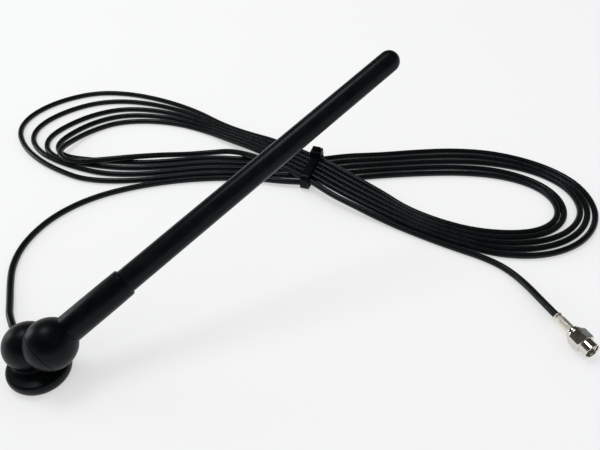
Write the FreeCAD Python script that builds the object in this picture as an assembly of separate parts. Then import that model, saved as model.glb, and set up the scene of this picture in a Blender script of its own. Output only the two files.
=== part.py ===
import FreeCAD, Part

import math
import os

# Swivelling whip antenna on a round foot, with a coaxial lead wound in a figure of eight.
# Millimetres. Origin at the middle of the foot's underside, +Z up.

V = FreeCAD.Vector
Z_AXIS = V(0, 0, 1)

# Foot
FOOT_R = 12.5
FOOT_BASE_R = 11.4
FOOT_BELLY_Z = 3.4
FOOT_SHOULDER_Z = 5.4
FOOT_EDGE_R = 1.2
DOME_TOP_Z = 6.9
PAD_R = 10.7
PAD_H = 0.6
PAD_PROUD = 0.3
CUP_R = 8.4
CUP_H = 2.2
CUP_WALL = 0.9
MAGNET_H = 1.4
MAGNET_BORE_R = 2.6
SEAT_GAP = 0.05
CUP_SCREW_R = 1.0
CUP_SCREW_LEN = 4.4
CUP_SCREW_HEAD_R = 2.0
CUP_SCREW_HEAD_H = 0.9

# Knuckle: two truncated balls, face to face on the swivel axis
LOBE_R = 9.7
LOBE_SUNK = 3.2
LOBE_CENTRE = V(-2.3, 2.1, DOME_TOP_Z - LOBE_SUNK + LOBE_R)
HEAD_R = 10.3
HEAD_LIFT = 0.2
HEAD_CENTRE = V(8.2, -0.2, DOME_TOP_Z + HEAD_LIFT + HEAD_R)
FACE_GAP = 0.2
LOBE_CAP_CHORD = 8.2
GROOVE = 0.25

# Hollow pivot between the balls
PIVOT_R = 3.4
PIVOT_BORE_R = 1.6
PIVOT_CLEAR = 0.05
HEAD_WALL = 1.9
FLANGE_R = 5.0
FLANGE_H = 1.4
FLANGE_ROOM = 0.15
LOBE_SHOULDER = 0.6
WASHER_H = 0.6
WASHER_R = 4.5
PIVOT_NUT_H = 1.9
PIVOT_NUT_AF = 7.8
POCKET_R = 4.8
CAVITY_BEYOND = 1.04

# Whip
WHIP_DIRECTION = V(0.750, 0.519, 0.411)
HEAD_SEAM = 3.85
SEAT_S = 7.6
SPIGOT_R = 4.5
SPIGOT_LEN = 2.4
SLEEVE_R = 5.95
SLEEVE_TOP_R = 5.8
SLEEVE_TOP_S = 36.0
SLEEVE_EDGE_R = 0.7
SLEEVE_TAPER_LEN = 7.0
SLEEVE_FLOOR_S = 11.5
COVER_FIT = 0.02
COVER_ROOT_R = 5.0
COVER_TIP_R = 4.72
COVER_WALL = 1.0
WHIP_TIP_S = 181.0

# Radiating parts inside the whip
INSERT_R = 2.0
ROD_R = 1.0
ROD_TOP_S = 168.0
FORMER_R = 2.9
FORMER_S = 74.0
FORMER_LEN = 24.0
WINDING_WALL = 0.5
WINDING_LEN = 16.0
SPACER_S = (44.0, 122.0, 158.0)
SPACER_H = 3.0
CONTACT_R = 1.8
CONTACT_S = 0.6

# Lead
CABLE_R = 1.6
CORE_R = 0.9
CORE_BEND_R = 2.6
CORE_END_GAP = 0.25
EXIT_DIRECTION = V(-0.574, 0.819, 0)
EXIT_Z = 3.9
CORE_TURN = 3.5
BOSS_R = 2.9
BOSS_PROUD = 0.5
GROMMET_LEN = 9.0
GROMMET_ROOT_R = 2.7
GROMMET_TIP_R = 1.95
GROMMET_TAIL = 3.4

# Route of the lead from the foot to the hank, and of its free end to the plug
LEAD_FIRST_RUN = 10.8
LEAD_ROUTE = [
    (-25.0, 35.6, 2.3), (-29.2, 46.8, 1.65), (-32.8, 59.0, 1.65), (-33.4, 72.0, 1.65),
    (-30.8, 84.0, 1.65), (-25.4, 96.0, 1.65), (-16.4, 107.0, 1.65), (-5.2, 115.5, 1.65),
    (7.8, 121.8, 1.65), (21.8, 126.4, 1.65), (37.8, 130.0, 1.65), (55.8, 133.0, 1.65),
]
TAIL_ROUTE = [
    (120.0, 111.3, 5.2), (131.0, 103.3, 4.3), (142.4, 95.4, 2.8), (154.1, 87.8, 1.8),
    (167.1, 79.4, 1.65), (180.1, 71.6, 1.65), (191.2, 65.6, 1.65), (199.7, 58.5, 1.65),
    (205.7, 48.2, 2.1),
]
TAIL_LAST_RUN = 8.0

# Hank: each row is one station, with the first turn's place and the last turn's place
RIGHT_LOOP = [
    (77.8, 131, 77.8, 150), (94.5, 126.5, 94.8, 149.8), (112, 125.8, 112.8, 148.2),
    (130.8, 130.8, 130.8, 154), (147.8, 134, 149.8, 155.5), (171.8, 136.3, 173.8, 158.8),
    (195.8, 137, 195.8, 160.3), (216.8, 133.7, 218.8, 157.3), (232.8, 124.8, 242.1, 145.5),
    (239.8, 112, 257.4, 127.2), (238.3, 98.5, 259.8, 105), (229.8, 88.5, 252.6, 87),
    (216.8, 83.7, 238.6, 73.5), (199.8, 84, 219.8, 66.4), (184.8, 88, 198.8, 68.4),
    (169.8, 96, 181.2, 76.2), (157.6, 105.3, 165.2, 85.3), (148, 115, 147.5, 96.3),
]
LEFT_LOOP = [
    (133.8, 126.3, 123.3, 115), (119.2, 139.8, 108.8, 128.6), (102.8, 153, 92.5, 142),
    (87, 165.8, 75.3, 157), (71.6, 177, 58.8, 171), (54.4, 190, 44.8, 182.4), (34.4, 208.5, 25.4, 192),
    (10.1, 223.5, 5, 195.8), (-15.5, 233.2, -13.7, 193.7), (-39.2, 234.2, -27, 184.2),
    (-60.3, 221.8, -35.2, 171), (-72.6, 203.5, -39.7, 159.5), (-74, 184, -36.2, 150),
    (-64, 164.8, -26.2, 147), (-50.2, 150, -12.2, 148.5), (-35, 139, 4.8, 150.2),
    (-17.2, 129.5, 21.8, 153.2), (9.8, 128.5, 35.8, 156), (47.8, 136, 51.8, 158.5),
]
CROSSING_TOP = 7.9
LOOP_THICK = 3.3
BAND_THICK = 4.5
BAND_STATIONS = 5
CROSSING_EDGE = 1.5
TAIL_STRAND = V(-2.9, -3.2, 0)

# Tie round the crossing
TIE_CENTRE = V(109.9, 136.4, 0)
TIE_SPAN_DIRECTION = V(0.31, 0.95, 0)
TIE_SPAN = 31.0
TIE_RISE = 9.3
TIE_THICK = 1.1
TIE_WIDTH = 4.6
TIE_CORNER_R = 3.4
TIE_HEAD = (6.4, 6.0, 4.2)
TIE_HEAD_PLACE = 8.5
TIE_TAIL = 5.0

# Plug
NUT_AF = 8.0
PLUG_FLOOR_GAP = 0.03
PLUG_START = V(212.6, 25.5, NUT_AF / math.sqrt(3) + PLUG_FLOOR_GAP)
PLUG_DIRECTION = V(0.392, -0.92, 0)
FERRULE_LEN = 9.0
FERRULE_R = 1.95
FERRULE_NECK_R = 1.78
FERRULE_BELL_R = 2.15
JACKET_DEPTH = 3.8
STEM_R = 1.5
BODY_FLANGE_R = 3.0
BODY_FLANGE_LEN = 1.2
BODY_R = 2.6
BODY_LEN = 7.2
INSULATOR_R = 2.05
PIN_R = 0.46
PIN_PROUD = 2.5
NUT_BACK_GAP = 0.15
NUT_RING_LEN = 0.9
NUT_RING_R = 3.75
NUT_HEX_LEN = 5.6
NUT_COLLAR_R = 3.55
NUT_LEN = 10.4
NUT_BORE_R = 2.95
NUT_TURN = 4.0
RUNNING = 0.05
CLIP_OFFSET = 1.7
CLIP_ROOM = 0.6
CLIP_H = 0.5
CLIP_OPENING = 50.0
GASKET_H = 0.7


def placed(shape, origin, direction):
    """Moves a shape built along +Z so that it starts at origin and runs along direction."""
    shape.Placement = FreeCAD.Placement(origin, FreeCAD.Rotation(Z_AXIS, direction))
    return shape


def turned(profile):
    """Solid of revolution about Z from a closed outline of (radius, height) corners."""
    corners = [V(r, 0, z) for r, z in profile]
    face = Part.Face(Part.makePolygon(corners + [corners[0]]))
    return face.revolve(V(0, 0, 0), Z_AXIS, 360)


def ring(outer, inner, low, high):
    """Plain ring about Z."""
    return turned([(inner, low), (outer, low), (outer, high), (inner, high)])


def disc(radius, low, high):
    """Plain disc about Z."""
    return Part.makeCylinder(radius, high - low, V(0, 0, low))


def truncated_ball(radius, low, high, inside):
    """Ball round the origin, cut off square to Z at two heights, with an inner outline.

    The inner outline is a list of (radius, height) corners from the high end to the low end.
    """
    low_r = math.sqrt(radius ** 2 - low ** 2)
    high_r = math.sqrt(radius ** 2 - high ** 2)
    arc = Part.Arc(V(low_r, 0, low), V(radius, 0, 0), V(high_r, 0, high)).toShape()
    corners = [V(high_r, 0, high)] + [V(r, 0, z) for r, z in inside] + [V(low_r, 0, low)]
    lines = [Part.makeLine(a, b) for a, b in zip(corners, corners[1:])]
    return Part.Face(Part.Wire([arc] + lines)).revolve(V(0, 0, 0), Z_AXIS, 360)


def hexagon(across_flats, low, high, turn=0.0):
    """Hexagonal prism about Z."""
    corner = across_flats / math.sqrt(3)
    points = [V(corner * math.cos(math.radians(turn + 60 * i)),
                corner * math.sin(math.radians(turn + 60 * i)), low) for i in range(7)]
    return Part.Face(Part.makePolygon(points)).extrude(V(0, 0, high - low))


def route_wire(points, name):
    """Straight runs joined by arcs as large as the runs allow, and the smallest arc's radius."""
    edges = []
    start = points[0]
    radii = []
    for before, corner, after in zip(points, points[1:], points[2:]):
        back = before - corner
        ahead = after - corner
        half_turn = (math.pi - back.getAngle(ahead)) / 2
        reach = 0.45 * min(back.Length, ahead.Length)
        radii.append(reach / math.tan(half_turn))
        into = corner + back.normalize() * reach
        out = corner + ahead.normalize() * reach
        middle = (back + ahead).normalize()
        sag = radii[-1] / math.cos(half_turn) - radii[-1]
        edges.append(Part.LineSegment(start, into).toShape())
        edges.append(Part.Arc(into, corner + middle * sag, out).toShape())
        start = out
    edges.append(Part.LineSegment(start, points[-1]).toShape())
    print(name, "radii", " ".join("%.1f" % radius for radius in radii))
    return Part.Wire(edges)


def tube(points, radius, name):
    """Round tube along a route."""
    wire = route_wire(points, name)
    section = Part.Wire(Part.makeCircle(radius, points[0], points[1] - points[0]))
    solid = wire.makePipeShell([section], True, False)
    expected = math.pi * radius * radius * wire.Length
    print(name, "length %.1f, volume ratio %.4f" % (wire.Length, solid.Volume / expected))
    return solid


def export(name, shape):
    """Writes one piece."""
    shape.exportStep("parts/%s.step" % name)


# Directions and distances that follow from the sizes above
SWIVEL_AXIS = (HEAD_CENTRE - LOBE_CENTRE).normalize()
BALL_DISTANCE = (HEAD_CENTRE - LOBE_CENTRE).Length
FACE = (BALL_DISTANCE ** 2 + LOBE_R ** 2 - HEAD_R ** 2) / (2 * BALL_DISTANCE)
LOBE_FACE = FACE - FACE_GAP / 2
HEAD_FACE = FACE + FACE_GAP / 2
WHIP_AXIS = V(WHIP_DIRECTION).normalize()
FLANGE_LOW = HEAD_FACE + HEAD_WALL
CAVITY_END = BALL_DISTANCE + CAVITY_BEYOND
RECESS_Z = PAD_PROUD
CUP_LOW = PAD_H
CUP_TOP = CUP_LOW + CUP_H
CORE_UPPER = LOBE_CENTRE - SWIVEL_AXIS * CORE_TURN
CORE_FOOT = V(CORE_UPPER.x, CORE_UPPER.y, EXIT_Z)
CORE_FOOT_ALONG = CORE_FOOT.dot(EXIT_DIRECTION)
CORE_FOOT_ACROSS = math.hypot(CORE_FOOT.x, CORE_FOOT.y) ** 2 - CORE_FOOT_ALONG ** 2
RIM_DISTANCE = math.sqrt(FOOT_R ** 2 - CORE_FOOT_ACROSS) - CORE_FOOT_ALONG
BOSS_END = RIM_DISTANCE + BOSS_PROUD


def along_swivel(shape):
    """Places a shape built along +Z on the swivel axis, from the lower ball's centre."""
    return placed(shape, LOBE_CENTRE, SWIVEL_AXIS)


def along_whip(shape):
    """Places a shape built along +Z on the whip's axis, from the upper ball's centre."""
    return placed(shape, HEAD_CENTRE, WHIP_AXIS)


def foot_dome():
    """Round foot: side that bellies out, rounded shoulder, low spherical dome."""
    lean = FOOT_R - FOOT_BASE_R
    drop = FOOT_BELLY_Z - RECESS_Z
    belly_r = (lean ** 2 + drop ** 2) / (2 * lean)
    shoulder_r = FOOT_R - belly_r + math.sqrt(belly_r ** 2 - (FOOT_SHOULDER_Z - FOOT_BELLY_Z) ** 2)
    sagitta = DOME_TOP_Z - FOOT_SHOULDER_Z
    dome_r = (shoulder_r ** 2 + sagitta ** 2) / (2 * sagitta)
    mid_r = shoulder_r / 2
    mid_z = DOME_TOP_Z - dome_r + math.sqrt(dome_r ** 2 - mid_r ** 2)
    low = V(0, 0, RECESS_Z)
    corner = V(FOOT_BASE_R, 0, RECESS_Z)
    shoulder = V(shoulder_r, 0, FOOT_SHOULDER_Z)
    top = V(0, 0, DOME_TOP_Z)
    side = Part.Arc(corner, V(FOOT_R, 0, FOOT_BELLY_Z), shoulder).toShape()
    dome = Part.Arc(shoulder, V(mid_r, 0, mid_z), top).toShape()
    wire = Part.Wire([Part.makeLine(low, corner), side, dome, Part.makeLine(top, low)])
    solid = Part.Face(wire).revolve(V(0, 0, 0), Z_AXIS, 360)
    edges = [e for e in solid.Edges if abs(e.BoundBox.ZMin - FOOT_SHOULDER_Z) < 1e-4
             and abs(e.BoundBox.ZMax - FOOT_SHOULDER_Z) < 1e-4 and len(e.Vertexes) == 1]
    return solid.makeFillet(FOOT_EDGE_R, edges)


def lower_ball():
    """Lower ball, with the pivot's bore and the room for its nut, open at the outer end."""
    bore = PIVOT_R + SEAT_GAP
    inside = [(bore, LOBE_FACE), (bore, LOBE_SHOULDER), (POCKET_R, LOBE_SHOULDER),
              (POCKET_R, -LOBE_CAP_CHORD)]
    return along_swivel(truncated_ball(LOBE_R, -LOBE_CAP_CHORD, LOBE_FACE, inside))


def exit_place(distance):
    """Point on the cable's way out of the foot, at a distance from the core's bend."""
    return CORE_FOOT + EXIT_DIRECTION * distance


def make_foot():
    """Foot and lower ball as one moulding, hollowed for the magnet, the pivot and the core."""
    boss = placed(disc(BOSS_R, 0, BOSS_END), CORE_FOOT, EXIT_DIRECTION)
    cap_r = math.sqrt(LOBE_R ** 2 - LOBE_CAP_CHORD ** 2)
    room = disc(POCKET_R, -LOBE_CAP_CHORD, LOBE_SHOULDER)
    room = room.fuse(disc(cap_r, -LOBE_R, -LOBE_CAP_CHORD))
    solid = foot_dome().fuse(boss).cut(along_swivel(room)).fuse(lower_ball())
    solid = solid.cut(disc(PAD_R + SEAT_GAP, 0, PAD_H))
    solid = solid.cut(disc(CUP_R + SEAT_GAP, 0, CUP_TOP))
    solid = solid.cut(disc(CUP_SCREW_R, 0, CUP_TOP + CUP_SCREW_LEN))
    solid = solid.cut(core_sweep(CORE_R + SEAT_GAP))
    grommet_seat = disc(GROMMET_TIP_R + SEAT_GAP, BOSS_END - GROMMET_TAIL, BOSS_END)
    return solid.cut(placed(grommet_seat, CORE_FOOT, EXIT_DIRECTION))


def make_lobe_cap():
    """Domed cover that closes the lower ball's outer end, with a fine step round its edge."""
    ball = Part.makeSphere(LOBE_R, LOBE_CENTRE)
    chord_r = math.sqrt(LOBE_R ** 2 - LOBE_CAP_CHORD ** 2)
    dome = ball.common(along_swivel(disc(chord_r - GROOVE, -LOBE_R - 1, -LOBE_CAP_CHORD)))
    spigot = along_swivel(disc(POCKET_R - SEAT_GAP, -LOBE_CAP_CHORD, -LOBE_CAP_CHORD + 1.4))
    return dome.fuse(spigot).removeSplitter()


def make_magnet_parts():
    """Steel cup, ring magnet, the screw that holds the cup, and the skin under them."""
    base_low = CUP_LOW + MAGNET_H
    cup = ring(CUP_R, CUP_R - CUP_WALL, CUP_LOW, base_low)
    cup = cup.fuse(ring(CUP_R, CUP_SCREW_R + 0.1, base_low, CUP_TOP)).removeSplitter()
    magnet = ring(CUP_R - CUP_WALL - SEAT_GAP, MAGNET_BORE_R, CUP_LOW, base_low)
    head_low = base_low - CUP_SCREW_HEAD_H
    screw = disc(CUP_SCREW_HEAD_R, head_low, base_low)
    screw = screw.fuse(disc(CUP_SCREW_R, base_low, CUP_TOP + CUP_SCREW_LEN - 0.2)).removeSplitter()
    pad = disc(PAD_R, 0, PAD_H)
    return {"magnet_cup": cup, "ring_magnet": magnet, "cup_screw": screw, "foot_pad": pad}


def make_pivot_parts():
    """Hollow pivot with its flange in the upper ball, spring washer and nut in the lower one."""
    nut_high = LOBE_SHOULDER - WASHER_H
    tail = nut_high - PIVOT_NUT_H - 0.4
    flange_low = FLANGE_LOW + 0.02
    pivot = ring(PIVOT_R, PIVOT_BORE_R, tail, flange_low)
    pivot = pivot.fuse(ring(FLANGE_R, PIVOT_BORE_R, flange_low, flange_low + FLANGE_H))
    washer = ring(WASHER_R, PIVOT_R + SEAT_GAP, nut_high, LOBE_SHOULDER)
    nut = hexagon(PIVOT_NUT_AF, nut_high - PIVOT_NUT_H, nut_high)
    nut = nut.cut(disc(PIVOT_R, nut_high - PIVOT_NUT_H, nut_high))
    return {"pivot_tube": along_swivel(pivot.removeSplitter()),
            "spring_washer": along_swivel(washer),
            "pivot_nut": along_swivel(nut)}


def head_room():
    """Everything cut out of the upper ball."""
    cuts = [along_swivel(disc(PIVOT_R + PIVOT_CLEAR, 0, FLANGE_LOW))]
    cuts.append(along_swivel(disc(FLANGE_R + FLANGE_ROOM, FLANGE_LOW, CAVITY_END)))
    cuts.append(along_whip(disc(SLEEVE_R + SEAT_GAP, SEAT_S, HEAD_R + 1)))
    cuts.append(along_whip(disc(SPIGOT_R + COVER_FIT, SEAT_S - SPIGOT_LEN, SEAT_S)))
    cuts.append(along_whip(disc(CONTACT_R + SEAT_GAP, 0, SEAT_S)))
    return cuts


def make_head_parts():
    """Upper ball in two mouldings, parted square to the whip, and clamped round the pivot."""
    face = BALL_DISTANCE - HEAD_FACE
    ball = truncated_ball(HEAD_R, -HEAD_R, face, [(0, face)])
    ball = placed(ball, HEAD_CENTRE, -SWIVEL_AXIS)
    hollow = ball.cut(head_room())
    seam_r = math.sqrt(HEAD_R ** 2 - HEAD_SEAM ** 2)
    front = hollow.common(along_whip(disc(HEAD_R + 1, -HEAD_SEAM, HEAD_R + 1)))
    rear = hollow.common(along_whip(disc(HEAD_R + 1, -HEAD_R - 1, -HEAD_SEAM)))
    groove = along_whip(turned([(seam_r + 1, -HEAD_SEAM - GROOVE * 3), (seam_r + 1, -HEAD_SEAM),
                                (seam_r - GROOVE, -HEAD_SEAM)]))
    return {"head_front": front, "head_rear": rear.cut(groove)}


def make_sleeve():
    """Lower sleeve: spigot in the ball, slight taper, rounded upper rim, bore for the cover."""
    low = SEAT_S - SPIGOT_LEN
    outline = [(INSERT_R + COVER_FIT, low), (SPIGOT_R, low), (SPIGOT_R, SEAT_S), (SLEEVE_R, SEAT_S),
               (SLEEVE_R, SLEEVE_TOP_S - SLEEVE_TAPER_LEN), (SLEEVE_TOP_R, SLEEVE_TOP_S),
               (COVER_ROOT_R + COVER_FIT, SLEEVE_TOP_S), (COVER_ROOT_R + COVER_FIT, SLEEVE_FLOOR_S),
               (INSERT_R + COVER_FIT, SLEEVE_FLOOR_S)]
    solid = turned(outline)
    rim = [e for e in solid.Edges if abs(e.BoundBox.ZMin - SLEEVE_TOP_S) < 1e-4
           and e.BoundBox.XMax > SLEEVE_TOP_R - 0.01]
    return along_whip(solid.makeFillet(SLEEVE_EDGE_R, rim))


def make_cover():
    """Long closed tube, slightly tapered, with a hemispherical tip."""
    tip_centre = WHIP_TIP_S - COVER_TIP_R
    slant = math.sin(math.radians(45)) * COVER_TIP_R
    inner_tip = COVER_TIP_R - COVER_WALL
    inner_slant = math.sin(math.radians(45)) * inner_tip
    points = [V(COVER_ROOT_R, 0, SLEEVE_FLOOR_S), V(COVER_TIP_R, 0, tip_centre),
              V(slant, 0, tip_centre + slant), V(0, 0, WHIP_TIP_S),
              V(0, 0, WHIP_TIP_S - COVER_WALL), V(inner_slant, 0, tip_centre + inner_slant),
              V(inner_tip, 0, tip_centre), V(COVER_ROOT_R - COVER_WALL, 0, SLEEVE_FLOOR_S)]
    edges = [Part.makeLine(points[0], points[1]), Part.Arc(*points[1:4]).toShape(),
             Part.makeLine(points[3], points[4]), Part.Arc(*points[4:7]).toShape(),
             Part.makeLine(points[6], points[7]), Part.makeLine(points[7], points[0])]
    return along_whip(Part.Face(Part.Wire(edges)).revolve(V(0, 0, 0), Z_AXIS, 360))


def cover_inner_radius(s):
    """Radius of the cover's bore at a distance along the whip."""
    share = (s - SLEEVE_FLOOR_S) / (WHIP_TIP_S - COVER_TIP_R - SLEEVE_FLOOR_S)
    return COVER_ROOT_R + (COVER_TIP_R - COVER_ROOT_R) * share - COVER_WALL


def make_radiator_parts():
    """Contact, insert, radiator rod, close winding on its former, discs that centre the rod."""
    insert_low = SEAT_S - SPIGOT_LEN
    contact = disc(CONTACT_R, CONTACT_S, insert_low)
    insert = ring(INSERT_R, ROD_R, insert_low, SLEEVE_FLOOR_S)
    rod = disc(ROD_R, insert_low, ROD_TOP_S)
    former = ring(FORMER_R, ROD_R + COVER_FIT, FORMER_S, FORMER_S + FORMER_LEN)
    winding_low = FORMER_S + (FORMER_LEN - WINDING_LEN) / 2
    winding = ring(FORMER_R + WINDING_WALL, FORMER_R, winding_low, winding_low + WINDING_LEN)
    spacers = Part.makeCompound([along_whip(ring(cover_inner_radius(s + SPACER_H) - COVER_FIT,
                                                 ROD_R + COVER_FIT, s, s + SPACER_H))
                                 for s in SPACER_S])
    return {"contact_block": along_whip(contact), "whip_insert": along_whip(insert),
            "radiator_rod": along_whip(rod), "coil_former": along_whip(former),
            "matching_coil": along_whip(winding), "rod_spacers": spacers}


def core_sweep(radius):
    """Way of the lead's core: from the grommet's end, up into the ball and through the pivot."""
    end = LOBE_CENTRE + SWIVEL_AXIS * (BALL_DISTANCE - CORE_END_GAP)
    points = [exit_place(BOSS_END + GROMMET_LEN), CORE_FOOT, CORE_UPPER, end]
    edges = []
    start = points[0]
    for before, corner, after in zip(points, points[1:], points[2:]):
        back = (before - corner).normalize()
        ahead = (after - corner).normalize()
        half_turn = (math.pi - back.getAngle(ahead)) / 2
        reach = CORE_BEND_R * math.tan(half_turn)
        sag = CORE_BEND_R / math.cos(half_turn) - CORE_BEND_R
        into = corner + back * reach
        out = corner + ahead * reach
        edges.append(Part.LineSegment(start, into).toShape())
        edges.append(Part.Arc(into, corner + (back + ahead).normalize() * sag, out).toShape())
        start = out
    edges.append(Part.LineSegment(start, points[-1]).toShape())
    section = Part.Wire(Part.makeCircle(radius, points[0], EXIT_DIRECTION))
    return Part.Wire(edges).makePipeShell([section], True, False)


def make_grommet():
    """Tapered strain relief in the boss at the back of the foot, round the lead's core."""
    root = BOSS_END
    tip = BOSS_END + GROMMET_LEN
    tail = BOSS_END - GROMMET_TAIL
    bore = CORE_R + SEAT_GAP
    outline = [(bore, tail), (GROMMET_TIP_R, tail), (GROMMET_TIP_R, root), (GROMMET_ROOT_R, root),
               (GROMMET_ROOT_R, root + 1.2), (GROMMET_TIP_R, tip), (bore, tip)]
    return placed(turned(outline), CORE_FOOT, EXIT_DIRECTION)


def pushed(points, distance):
    """Moves each point of a closed outline outwards by a distance."""
    area = sum(a.x * b.y - b.x * a.y for a, b in zip(points, points[1:] + points[:1]))
    side = 1 if area > 0 else -1
    moved = []
    for i, point in enumerate(points):
        ahead = points[(i + 1) % len(points)] - points[i - 1]
        moved.append(point + V(ahead.y, -ahead.x, 0).normalize() * distance * side)
    return moved


def outline_face(points):
    """Face inside a smooth closed curve through points."""
    curve = Part.BSplineCurve()
    curve.interpolate(Points=points, PeriodicFlag=True)
    return Part.Face(Part.Wire(curve.toShape()))


def loop_plate(outer, inner):
    """One loop of the hank: a plate between its outermost and innermost strand."""
    outside = outline_face(pushed(outer, CABLE_R)).extrude(V(0, 0, LOOP_THICK))
    hole = outline_face(pushed(inner, -CABLE_R - 0.4)).extrude(V(0, 0, LOOP_THICK))
    return outside.cut(hole)


def make_hank():
    """Closed solid of the figure of eight: two flat loops, the band between them and the crossing."""
    right_first = [V(row[0], row[1], 0) for row in RIGHT_LOOP]
    right_last = [V(row[2], row[3], 0) for row in RIGHT_LOOP]
    left_first = [V(row[0], row[1], 0) for row in LEFT_LOOP]
    left_last = [V(row[2], row[3], 0) for row in LEFT_LOOP]
    right = loop_plate(right_last[2:], right_first[3:-1])
    left = loop_plate(left_first[1:], left_last[4:])
    near_side = [left_first[-1]] + right_first[:BAND_STATIONS]
    far_side = [left_last[-1]] + right_last[:BAND_STATIONS]
    band_edge = pushed(near_side + far_side[::-1], CABLE_R)
    band = Part.Face(Part.makePolygon(band_edge + [band_edge[0]])).extrude(V(0, 0, BAND_THICK))
    base = [left_first[0], left_first[3], left_last[3] + TAIL_STRAND, left_last[0] + TAIL_STRAND]
    corners = pushed(base, CABLE_R + CABLE_R)
    crossing = Part.Face(Part.makePolygon(corners + [corners[0]])).extrude(V(0, 0, CROSSING_TOP))
    top = [e for e in crossing.Edges if e.BoundBox.ZMin > CROSSING_TOP - 0.01]
    crossing = crossing.makeChamfer(CROSSING_EDGE, top)
    return left.fuse([right, band, crossing]).removeSplitter().cut(tie_envelope())


def tie_frame(shape):
    """Places a shape built along +Z, with its span on X, across the hank's crossing."""
    span = V(TIE_SPAN_DIRECTION).normalize()
    run = span.cross(Z_AXIS)
    turn = FreeCAD.Rotation(span, Z_AXIS, run, "XYZ")
    shape.Placement = FreeCAD.Placement(TIE_CENTRE - run * (TIE_WIDTH / 2), turn)
    return shape


def rounded_slab(span, low, high, corner, depth):
    """Prism with a rounded oblong section, built along +Z, with its span on X."""
    slab = Part.makeBox(span, high - low, depth, V(-span / 2, low, 0))
    upright = [e for e in slab.Edges if abs(e.BoundBox.ZLength - depth) < 1e-4]
    return slab.makeFillet(corner, upright)


def tie_envelope():
    """Room that the tie takes below and beside the hank."""
    outer = rounded_slab(TIE_SPAN, 0, TIE_RISE, TIE_CORNER_R, TIE_WIDTH)
    inner = rounded_slab(TIE_SPAN - 2 * TIE_THICK, TIE_THICK, TIE_RISE - TIE_THICK,
                         TIE_CORNER_R - TIE_THICK, TIE_WIDTH)
    return tie_frame(outer.cut(inner))


def make_tie():
    """Strap round the crossing, with its square head on top and the cut end of the strap."""
    outer = rounded_slab(TIE_SPAN, 0, TIE_RISE, TIE_CORNER_R, TIE_WIDTH)
    inner = rounded_slab(TIE_SPAN - 2 * TIE_THICK, TIE_THICK, TIE_RISE - TIE_THICK,
                         TIE_CORNER_R - TIE_THICK, TIE_WIDTH)
    width, length, height = TIE_HEAD
    overhang = (width - TIE_WIDTH) / 2
    head = Part.makeBox(length, height, width, V(TIE_HEAD_PLACE - length / 2, TIE_RISE - TIE_THICK, -overhang))
    edges = [e for e in head.Edges if e.BoundBox.YMin > TIE_RISE - TIE_THICK + height - 0.01]
    head = head.makeChamfer(0.6, edges)
    end = Part.makeBox(TIE_THICK, TIE_TAIL, TIE_WIDTH,
                       V(TIE_HEAD_PLACE - TIE_THICK / 2, TIE_RISE, 0))
    return tie_frame(outer.cut(inner).fuse([head, end]).removeSplitter())


def make_plug_parts():
    """Crimp ferrule, body, clip, insulator, pin and gasket of the plug."""
    half_bell = FERRULE_BELL_R - FERRULE_NECK_R
    jacket_bore = CABLE_R + 0.02
    ferrule = turned([(jacket_bore, 0), (FERRULE_BELL_R, 0), (FERRULE_BELL_R, 0.5),
                      (FERRULE_NECK_R, 0.5 + half_bell * 2), (FERRULE_NECK_R, 2.0),
                      (FERRULE_R, 2.4), (FERRULE_R, FERRULE_LEN), (jacket_bore, FERRULE_LEN)])
    flange_end = FERRULE_LEN + BODY_FLANGE_LEN
    front = flange_end + BODY_LEN
    clip_low = flange_end + CLIP_OFFSET
    stem_low = JACKET_DEPTH + 0.02
    body = turned([(INSULATOR_R, flange_end - 0.4), (INSULATOR_R, front), (BODY_R, front),
                   (BODY_R, clip_low + CLIP_ROOM), (BODY_R - 0.4, clip_low + CLIP_ROOM),
                   (BODY_R - 0.4, clip_low), (BODY_R, clip_low), (BODY_R, flange_end),
                   (BODY_FLANGE_R - 0.3, flange_end), (BODY_FLANGE_R, flange_end - 0.3),
                   (BODY_FLANGE_R, FERRULE_LEN), (STEM_R, FERRULE_LEN), (STEM_R, stem_low),
                   (PIN_R + 0.02, stem_low), (PIN_R + 0.02, flange_end - 0.4)])
    nut_groove_r = NUT_BORE_R + 0.25
    clip = ring(nut_groove_r - RUNNING, BODY_R - 0.4 + RUNNING, clip_low + 0.05, clip_low + 0.05 + CLIP_H)
    opening = Part.makeCylinder(BODY_R * 2, CLIP_ROOM + 1, V(0, 0, clip_low - 0.5), Z_AXIS, CLIP_OPENING)
    gasket_low = clip_low + CLIP_ROOM + 0.7
    gasket = ring(NUT_BORE_R - 0.1, BODY_R, gasket_low, gasket_low + GASKET_H)
    insulator = ring(INSULATOR_R, PIN_R + 0.02, flange_end - 0.4, front)
    tip = front + PIN_PROUD
    pin = turned([(0, JACKET_DEPTH + 1), (PIN_R, JACKET_DEPTH + 1), (PIN_R, tip - 0.5),
                  (PIN_R * 0.45, tip), (0, tip)])
    pieces = {"crimp_ferrule": ferrule, "connector_body": body, "nut_clip": clip.cut(opening),
              "connector_insulator": insulator, "centre_pin": pin, "nut_gasket": gasket}
    return {name: placed(shape, PLUG_START, PLUG_DIRECTION) for name, shape in pieces.items()}


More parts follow.
